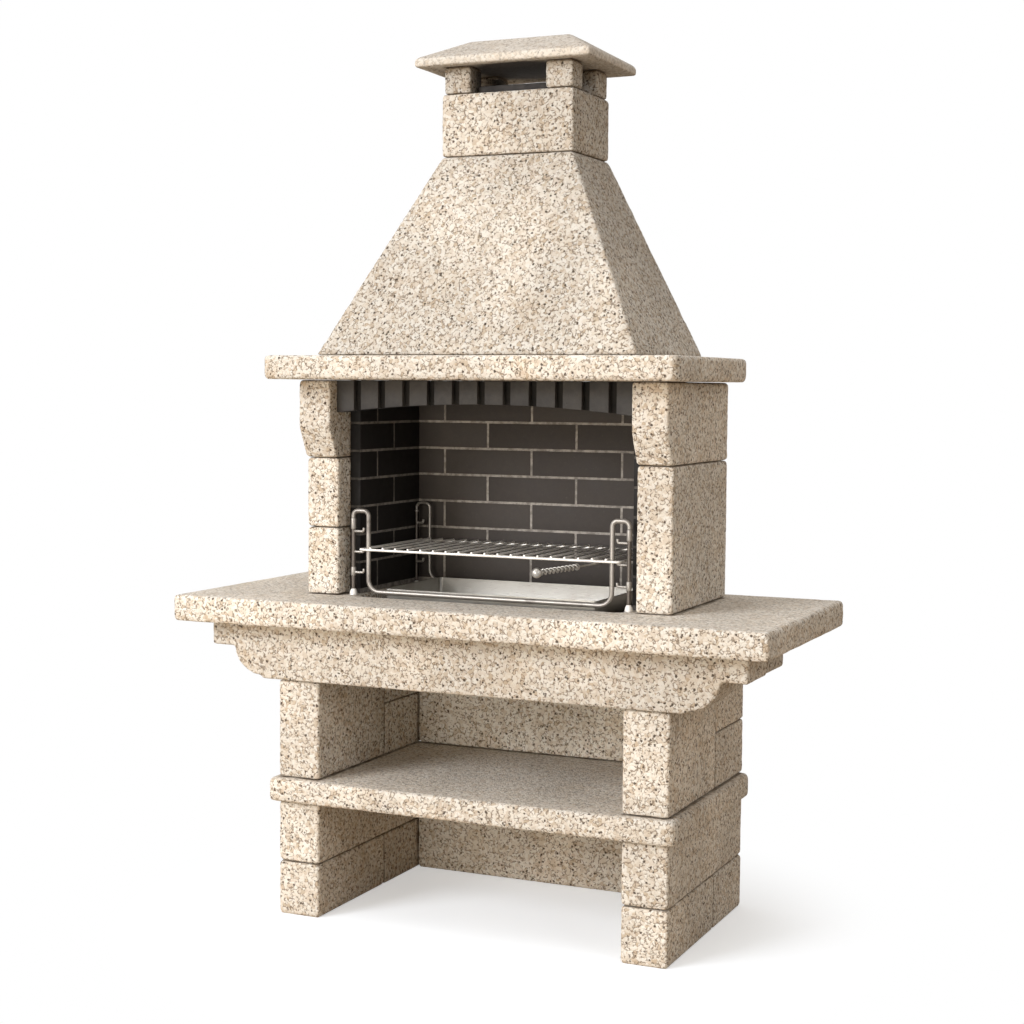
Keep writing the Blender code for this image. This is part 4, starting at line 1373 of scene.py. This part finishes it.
@dataclass
class ClayParts:
    """The hearth slab under the fire tray and the flue liner in the chimney."""

    hearth_facet: float = 0.0072
    flue_facet: float = 0.0027
    hewing: Hewing = field(default_factory=lambda: Hewing(
        swell=0.0003, pitting=0.0003, arris=0.0004, wear=0.0008, bite=0.0006))

    def build(self) -> None:
        """Dresses both pieces."""
        mason = StoneMason(self.hewing)
        for node, clay, facet in (("hearth_slab", HEARTH_CLAY, self.hearth_facet),
                                  ("flue_liner", FLUE_CLAY, self.flue_facet)):
            seed = seed_of(node)
            mesh = mason.cast(node, facet)
            mason.hew(mesh, seed, None)
            add_piece(node + "_cast", mesh, [clay.material(node, seed)], clay.slot, Body.MASONRY,
                      node)


@dataclass
class FireTray:
    """The loose sheet tray for the embers, with a folded hem."""

    corner: float = 0.010
    foot_bend: float = 0.004
    sheet: float = 0.0015
    hem: float = 0.0030
    hem_drop: float = 0.005
    bend_facets: int = 8
    sharp: float = 35.0

    def build(self) -> None:
        """Folds the tray from one sheet."""
        low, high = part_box("fire_tray")
        shape = bmesh.new()
        box_between(shape, low, high)
        lid = [face for face in shape.faces if face.calc_center_median().z > high.z - self.sheet]
        bmesh.ops.delete(shape, geom=lid, context="FACES_ONLY")
        upright = [edge for edge in shape.edges
                   if abs(edge.verts[0].co.z - edge.verts[1].co.z) > self.corner]
        ease_edges(shape, upright, self.corner, self.bend_facets)
        foot = [edge for edge in shape.edges
                if all(vert.co.z < low.z + self.sheet for vert in edge.verts)]
        ease_edges(shape, foot, self.foot_bend, self.bend_facets // 2)
        centre = (low + high) / 2
        half = (high - low) / 2
        for inward, down in ((self.hem, 0.0), (0.0, self.hem_drop)):
            rim = [edge for edge in shape.edges if edge.is_boundary]
            grown = bmesh.ops.extrude_edge_only(shape, edges=rim)["geom"]
            verts = [part for part in grown if isinstance(part, bmesh.types.BMVert)]
            for vert in verts:
                vert.co.x = centre.x + (vert.co.x - centre.x) * (1 - inward / half.x)
                vert.co.y = centre.y + (vert.co.y - centre.y) * (1 - inward / half.y)
                vert.co.z -= down
        bmesh.ops.recalc_face_normals(shape, faces=shape.faces[:])
        base = min(shape.faces, key=lambda face: face.calc_center_median().z)
        if base.normal.z > 0:
            bmesh.ops.reverse_faces(shape, faces=shape.faces[:])
        bmesh.ops.solidify(shape, geom=shape.faces[:], thickness=self.sheet)
        seed = seed_of("fire_tray")
        add_piece("fire_tray_folded", mesh_of("fire_tray_folded", shape, self.sharp),
                  [SHEET.material("fire_tray", seed)], SHEET.slot, Body.TRAY, "fire_tray")


# Steelwork


def bead(shape: Shape, at: Vector, size: Vector) -> None:
    """Adds a weld bead.

    Args:
        shape: The bmesh to add it to.
        at: Its middle.
        size: Half of its length, width and height.
    """
    made = bmesh.ops.create_icosphere(shape, subdivisions=2, radius=1.0)["verts"]
    bmesh.ops.scale(shape, vec=size, verts=made)
    bmesh.ops.translate(shape, vec=at, verts=made)


@dataclass
class GrillSupport:
    """Front and rear rows of bent rod, posts with pegs, and their feet."""

    shafts: dict[Row, float] = field(default_factory=lambda: {
        Row.FRONT: 0.0050, Row.REAR: 0.0035})
    loop_bend: float = 0.013
    loop_leg: float = 0.017
    guard_corner: float = 0.030
    guard_x: dict[Row, float] = field(default_factory=lambda: {
        Row.FRONT: 0.3155, Row.REAR: 0.3097})
    post_x: dict[Row, float] = field(default_factory=lambda: {
        Row.FRONT: 0.3570, Row.REAR: 0.3477})
    sleeve_swell: float = 0.0015
    sleeve_length: float = 0.026
    collar_height: float = 0.048
    collar_length: float = 0.019
    ball: float = 0.0052
    peg_radius: float = 0.0033
    peg_levels: tuple[float, ...] = (0.8314, 0.8814, 0.9314)
    peg_tip_x: float = 0.3285
    peg_rise: float = 0.009
    peg_bend: float = 0.0045
    peg_facets: int = 16
    peg_bend_steps: int = 6
    peg_ease: float = 0.0008
    weld_share: float = 1.25
    weld_shape: Triple = (0.55, 1.0, 1.0)
    foot_steps: int = 10
    shaft_margin: float = 0.0003
    # Least share of the dark colour on a post's shaft: a painted dark reflection.
    shaft_smoke: float = 0.94

    def guard(self, row: Row) -> None:
        """Bends one guard rod from end to end.

        Args:
            row: The row it stands in.
        """
        node = row.value + "_guard_rod"
        low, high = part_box(node)
        radius = (high.y - low.y) / 2
        plane = (high.y + low.y) / 2
        post, guard = self.post_x[row], self.guard_x[row]
        apex, bar = high.z - radius, low.z + radius
        leg, across = self.loop_leg - self.loop_bend, post - guard - 2 * self.loop_bend
        upright = apex - bar - self.loop_bend - self.guard_corner
        shape = bmesh.new()
        rod = BentRod(shape, radius, Vector((-post, plane, apex - self.loop_leg)), UP)
        for length, towards, bend in (
                (leg, RIGHT, self.loop_bend), (across, DOWN, self.loop_bend),
                (upright, RIGHT, self.guard_corner),
                (2 * (guard - self.guard_corner), UP, self.guard_corner),
                (upright, RIGHT, self.loop_bend), (across, DOWN, self.loop_bend)):
            rod.run(length).bend(towards, bend)
        rod.run(leg).cut(0.0)
        add_piece(node + "_bent", mesh_of(node, shape), [ROD.material(node, seed_of(node))],
                  ROD.slot, Body.MASONRY, node)

    def post_profile(self, row: Row, bottom: float, top: float) -> list[Span]:
        """Turned profile of a post, from its foot to its head.

        Args:
            row: The row it stands in.
            bottom: Its lowest level.
            top: Its highest level.

        Returns:
            Points of radius and height.
        """
        shaft = self.shafts[row]
        if row is Row.REAR:
            flat = math.asin(shaft / self.ball)
            head = arc(self.ball, self.ball, top - self.ball * math.cos(flat),
                       (math.pi - flat, flat), self.foot_steps)
            return [(0, bottom), (shaft, bottom), *head, (0, top)]
        sleeve = shaft + self.sleeve_swell
        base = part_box("table_slab")[1].z
        collar, ring = base + self.collar_height, base + self.collar_height + self.collar_length
        head = top - self.sleeve_length
        soft = self.sleeve_swell / 2
        return [(0, bottom), (shaft, bottom), (shaft, collar - self.sleeve_swell),
                (sleeve - soft / 2, collar - soft / 2), (sleeve, collar + soft),
                (sleeve, ring - soft), (sleeve - soft / 2, ring + soft / 2),
                (shaft, ring + self.sleeve_swell), (shaft, head - self.sleeve_swell),
                (sleeve - soft / 2, head - soft / 2), (sleeve, head + soft),
                (sleeve, top - 2 * self.sleeve_swell), (sleeve - soft, top - soft),
                (shaft, top), (0, top)]

    def post(self, row: Row, side: Side) -> None:
        """Turns one post and welds its pegs on.

        Args:
            row: The row it stands in.
            side: The side it stands on.
        """
        node = f"{row.value}_post_{side.label}"
        low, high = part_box(node)
        foot_low, foot_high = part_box(f"{row.value}_foot_{side.label}")
        plane = (foot_low.y + foot_high.y) / 2
        axis = Vector((side.value * self.post_x[row], plane, 0))
        shape = bmesh.new()
        turned(shape, self.post_profile(row, low.z, high.z))
        bmesh.ops.translate(shape, vec=axis, verts=shape.verts[:])
        inward = LEFT * side.value
        reach = self.post_x[row] - self.peg_tip_x
        shaft = self.shafts[row]
        for level in self.peg_levels:
            peg = BentRod(shape, self.peg_radius, axis + UP * level, inward, self.peg_facets)
            peg.run(reach - self.peg_bend).bend(UP, self.peg_bend, steps=self.peg_bend_steps)
            peg.run(self.peg_rise - self.peg_bend).cut(self.peg_ease)
            size = self.peg_radius * self.weld_share
            bead(shape, axis + inward * shaft + UP * level, Vector(self.weld_shape) * size)
        # The shaft's faces take a second finish, darkened as a painted dark reflection.
        for face in shape.faces:
            off = face.calc_center_median() - axis
            if Vector((off.x, off.y)).length < shaft + self.shaft_margin:
                face.material_index = 1
        finishes = [ROD.material(node, seed_of(node)),
                    ROD.material(node + "_shaft", seed_of(node), self.shaft_smoke)]
        add_piece(node + "_turned", mesh_of(node, shape), finishes, ROD.slot, Body.MASONRY, node)

    def foot(self, row: Row, side: Side) -> None:
        """Turns the domed foot of one post.

        Args:
            row: The row it stands in.
            side: The side it stands on.
        """
        node = f"{row.value}_foot_{side.label}"
        low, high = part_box(node)
        radius, height = (high.x - low.x) / 2, high.z - low.z
        flat = math.asin(self.shafts[row] / radius)
        dome = arc(radius, height / math.cos(flat), low.z, (flat, math.pi / 2), self.foot_steps)
        shape = bmesh.new()
        turned(shape, [(0, high.z), *dome, (0, low.z)])
        bmesh.ops.translate(shape, vec=((low.x + high.x) / 2, (low.y + high.y) / 2, 0),
                            verts=shape.verts[:])
        add_piece(node + "_turned", mesh_of(node, shape), [WIRE.material(node, seed_of(node))],
                  WIRE.slot, Body.MASONRY, node)

    def build(self) -> None:
        """Builds both rows."""
        for row in Row:
            self.guard(row)
            for side in Side:
                self.post(row, side)
                self.foot(row, side)


@dataclass
class Grill:
    """The welded grill: a bent rim, a rear rail and its wires, with weld beads."""

    rim_radius: float = 0.0030
    rim_corner: float = 0.010
    rail_tail: float = 0.016
    rail_radius: float = 0.0027
    wire_radius: float = 0.0025
    wire_count: int = 19
    wire_facets: int = 14
    edge_margin: float = 0.0315
    weld_depth: float = 0.0006
    wire_weld: Triple = (1.45, 0.85, 2.2)
    rail_weld: Triple = (1.25, 1.5, 0.95)

    def build(self) -> None:
        """Bends the rim, lays the rear rail and wires, and welds every crossing."""
        low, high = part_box("grill")
        radius = self.rim_radius
        half, front, level = high.x - radius, low.y + radius, low.z + radius
        rear = high.y - self.rail_tail
        shape = bmesh.new()
        rim = BentRod(shape, radius, Vector((-half, high.y, level)), FORWARD)
        rim.run(high.y - front - self.rim_corner).bend(RIGHT, self.rim_corner)
        rim.run(2 * (half - self.rim_corner)).bend(BACK, self.rim_corner)
        rim.run(high.y - front - self.rim_corner).cut()
        rail = BentRod(shape, self.rail_radius, Vector((-half, rear, level)), RIGHT)
        rail.run(2 * half).cut(0.0)
        spread = half - self.edge_margin
        lift = level + radius + self.wire_radius - self.weld_depth
        seam = level + radius - self.weld_depth / 2
        sizes = (self.wire_radius, radius, self.weld_depth)
        weld = Vector([size * share for size, share in zip(sizes, self.wire_weld)])
        for index in range(self.wire_count):
            across = spread * (2 * index / (self.wire_count - 1) - 1)
            wire = BentRod(shape, self.wire_radius, Vector((across, front - radius, lift)), BACK,
                           self.wire_facets)
            wire.run(rear - front + 2 * radius).cut()
            for place in (front, rear):
                bead(shape, Vector((across, place, seam)), weld)
        for side in Side:
            bead(shape, Vector((side.value * half, rear, level)), Vector(self.rail_weld) * radius)
        add_piece("grill_welded", mesh_of("grill_welded", shape),
                  [WIRE.material("grill", seed_of("grill"))],
                  ROD.slot, Body.GRILL, "grill")


@dataclass
class Handle:
    """The pull handle under the grill: rod with a stop, coil grip and ball knob."""

    rim_half: float = 0.336
    side_inset: float = 0.0575
    seat_gap: float = 0.0003
    rim_radius: float = 0.0030
    rod: float = 0.0030
    length: float = 0.1785
    tail: float = 0.020
    skew: float = math.radians(22.2)
    droop: float = math.radians(2.4)
    turns: int = 9
    pitch: float = 0.0122
    wire: float = 0.00175
    clearance: float = 0.0008
    stop_swell: float = 0.0050
    stop_length: float = 0.003
    knob: float = 0.0116
    knob_flat: float = 0.0082
    steps_a_turn: int = 24
    facets: int = 16
    end_bend: float = 0.0022
    bend_steps: int = 5

    def seat(self) -> Matrix:
        """Finds where the handle's own axis lies.

        Returns:
            Its place and turn, with its Z running forwards out of the grill.
        """
        low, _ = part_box("grill")
        drop = self.rim_radius + self.seat_gap + self.rod / math.cos(self.droop)
        at = Vector((self.rim_half - self.side_inset, low.y + self.rim_radius,
                     low.z + self.rim_radius - drop))
        turn = Euler((math.pi / 2 + self.droop, 0, -self.skew)).to_matrix().to_4x4()
        return Matrix.Translation(at) @ turn

    def set_down(self, shape: Shape, node: str, suffix: str) -> None:
        """Moves a finished shape to the seat and makes it a piece.

        Args:
            shape: The shape, along the handle's own axis.
            node: The solid that it replaces.
            suffix: Ending of the piece's name.
        """
        bmesh.ops.transform(shape, matrix=self.seat(), verts=shape.verts[:])
        add_piece(node + suffix, mesh_of(node, shape), [GRIP.material(node, seed_of(node))],
                  GRIP.slot, Body.GRILL, node)

    def build(self) -> None:
        """Builds the rod, the coil and the knob."""
        coil = self.turns * self.pitch + 4 * self.wire
        stop_end = self.length - coil - self.seat_gap
        stop_start = stop_end - self.stop_length
        stop = self.rod + self.stop_swell
        soft = self.stop_length / 6
        shape = bmesh.new()
        turned(shape, [(0, -self.tail), (self.rod - soft, -self.tail), (self.rod, soft - self.tail),
                       (self.rod, stop_start), (stop - soft, stop_start), (stop, stop_start + soft),
                       (stop, stop_end - soft), (stop - soft, stop_end), (self.rod, stop_end),
                       (self.rod, self.length), (0, self.length)])
        self.set_down(shape, "handle_rod", "_turned")
        shape = bmesh.new()
        radius = self.rod + self.clearance + self.wire
        start = stop_end + self.seat_gap
        steps = self.turns * self.steps_a_turn
        climb = math.atan2(self.pitch, math.tau * radius)
        swing = math.pi / 2 - climb
        along = Vector((0, math.cos(climb), math.sin(climb)))
        over = Vector((0, -math.sin(climb), math.cos(climb)))
        straight = 2 * self.wire - self.end_bend * math.sin(swing)
        offset = self.end_bend * (1 - math.cos(swing))
        wire = BentRod(shape, self.wire, Vector((radius, -offset, start)), UP, self.facets)
        wire.run(straight).bend(BACK, self.end_bend, swing, self.bend_steps)
        bmesh.ops.spin(shape, geom=wire.ring, cent=(0, 0, 0), axis=(0, 0, 1),
                       angle=math.tau * self.turns, steps=steps,
                       dvec=(0, 0, self.turns * self.pitch / steps), use_merge=False)
        wire.at += UP * self.turns * self.pitch
        wire.heading = along
        wire.ring = wire.open_ring()
        wire.bend(over, self.end_bend, swing, self.bend_steps).run(straight).cut(0.0)
        self.set_down(shape, "handle_coil", "_wound")
        first = math.asin(self.knob_flat / self.knob)
        foot = self.length + self.seat_gap
        ball = arc(self.knob, self.knob, foot + self.knob * math.cos(first),
                   (math.pi - first, 0.0), self.steps_a_turn)
        shape = bmesh.new()
        turned(shape, [(0, foot), *ball])
        self.set_down(shape, "handle_knob", "_turned")


# Studio


@dataclass(frozen=True)
class Lamp:
    """A soft square lamp that looks at the middle of the barbecue."""

    name: str
    at: Triple
    size: float
    watts: float
    colour: Colour = (1.0, 1.0, 1.0)
    target: Triple = (0.0, 0.0, 1.0)

    def hang(self) -> None:
        """Hangs the lamp in its place."""
        data = bpy.data.lights.new(self.name, "AREA")
        data.size = self.size
        data.energy = self.watts
        data.color = self.colour
        lamp = linked(self.name, data)
        lamp.location = self.at
        lamp.rotation_mode = "QUATERNION"
        lamp.rotation_quaternion = (Vector(self.target) - Vector(self.at)).to_track_quat("-Z", "Y")


@dataclass
class Studio:
    """Camera, lamps, sky and floor of the picture."""

    eye: Triple = (1.7693, -3.9015, 1.2838)
    yaw: float = 0.4243
    pitch: float = 0.0701
    roll: float = 0.0071
    lens: float = 62.74
    shift: float = 0.0013
    sensor: float = 36.0
    sky: Colour = (0.365, 0.325, 0.285)
    white: Colour = (1.0, 1.0, 1.0)
    floor_size: float = 60.0
    floor_level: float = -0.0005
    floor_colour: Colour = (0.745, 0.785, 0.825)
    floor_lift: float = 0.43
    floor_fade: Span = (0.50, 0.96)
    bounce_colour: Colour = (0.46, 0.365, 0.26)
    bounce_roughness: float = 0.9
    lamps: tuple[Lamp, ...] = (
        Lamp("key", (-4.9, -8.0, 4.8), 4.0, 778.0, (0.985, 1.0, 1.04)),
        Lamp("fill", (-0.6, -6.0, 0.5), 2.4, 172.0, (1.0, 0.93, 0.82)),
        Lamp("side", (4.6, -2.6, 3.4), 2.6, 42.0),
        Lamp("overhead", (-0.6, -1.0, 9.0), 6.0, 285.0))

    def camera(self) -> None:
        """Sets the camera at the photograph's angle."""
        ahead = Vector((-math.sin(self.yaw) * math.cos(self.pitch),
                        math.cos(self.yaw) * math.cos(self.pitch), -math.sin(self.pitch)))
        across = Vector((math.cos(self.yaw), math.sin(self.yaw), 0))
        above = across.cross(ahead)
        right = across * math.cos(self.roll) + above * math.sin(self.roll)
        up = above * math.cos(self.roll) - across * math.sin(self.roll)
        turn = Matrix((right, up, -ahead)).transposed()
        data = bpy.data.cameras.new("camera")
        data.lens = self.lens
        data.sensor_width = self.sensor
        data.shift_x = self.shift
        camera = linked("camera", data)
        camera.matrix_world = Matrix.Translation(self.eye) @ turn.to_4x4()
        bpy.context.scene.camera = camera

    def backdrop(self) -> None:
        """Gives an even sky that shows as white."""
        world = bpy.data.worlds.new("studio")
        bpy.context.scene.world = world
        graph = Graph(world)
        ambient = graph.tree.nodes["Background"]
        graph.feed(ambient.inputs["Color"], self.sky)
        white = graph.give("ShaderNodeBackground", self.white)
        shown = graph.give("ShaderNodeMixShader", graph.seen_directly(), ambient.outputs[0], white)
        graph.feed(graph.tree.nodes["World Output"].inputs["Surface"], shown)

    def floor(self) -> None:
        """Lays a pale floor that keeps the shadow and fades to white."""
        shape = bmesh.new()
        bmesh.ops.create_grid(shape, x_segments=1, y_segments=1, size=self.floor_size / 2)
        mesh = bpy.data.meshes.new("floor")
        shape.to_mesh(mesh)
        shape.free()
        floor = linked("floor", mesh)
        floor.location = (0, 0, self.floor_level)
        graph = Graph(bpy.data.materials.new("floor"))
        material = graph.dress(Base_Color=self.bounce_colour, Roughness=self.bounce_roughness,
                               Specular_IOR_Level=0.0)
        bounce = graph.tree.nodes["Principled BSDF"].outputs[0]
        lifted = graph.give("ShaderNodeAddShader",
                            graph.give("ShaderNodeBsdfDiffuse", self.floor_colour),
                            graph.give("ShaderNodeEmission", self.white, self.floor_lift))
        far = graph.span(graph.length(graph.here()), self.floor_fade)
        faded = graph.give("ShaderNodeMixShader", far, lifted,
                           graph.give("ShaderNodeEmission", self.white, 1.0))
        shown = graph.give("ShaderNodeMixShader", graph.seen_directly(), bounce, faded)
        graph.feed(graph.tree.nodes["Material Output"].inputs["Surface"], shown)
        mesh.materials.append(material)

    def build(self) -> None:
        """Sets up the whole studio."""
        self.camera()
        self.backdrop()
        self.floor()
        for lamp in self.lamps:
            lamp.hang()
        bpy.context.scene.view_settings.view_transform = "Standard"


def main() -> None:
    """Builds the studio and every sub-assembly."""
    logging.basicConfig(level=logging.INFO, format="%(message)s")
    Studio().build()
    for assembly in (Masonry(), Lining(), Lintel(), ClayParts(), FireTray(), GrillSupport(),
                     Grill(), Handle()):
        log.info("building %s", type(assembly).__name__)
        assembly.build()
    bpy.context.view_layer.update()


if __name__ == "__main__":
    main()
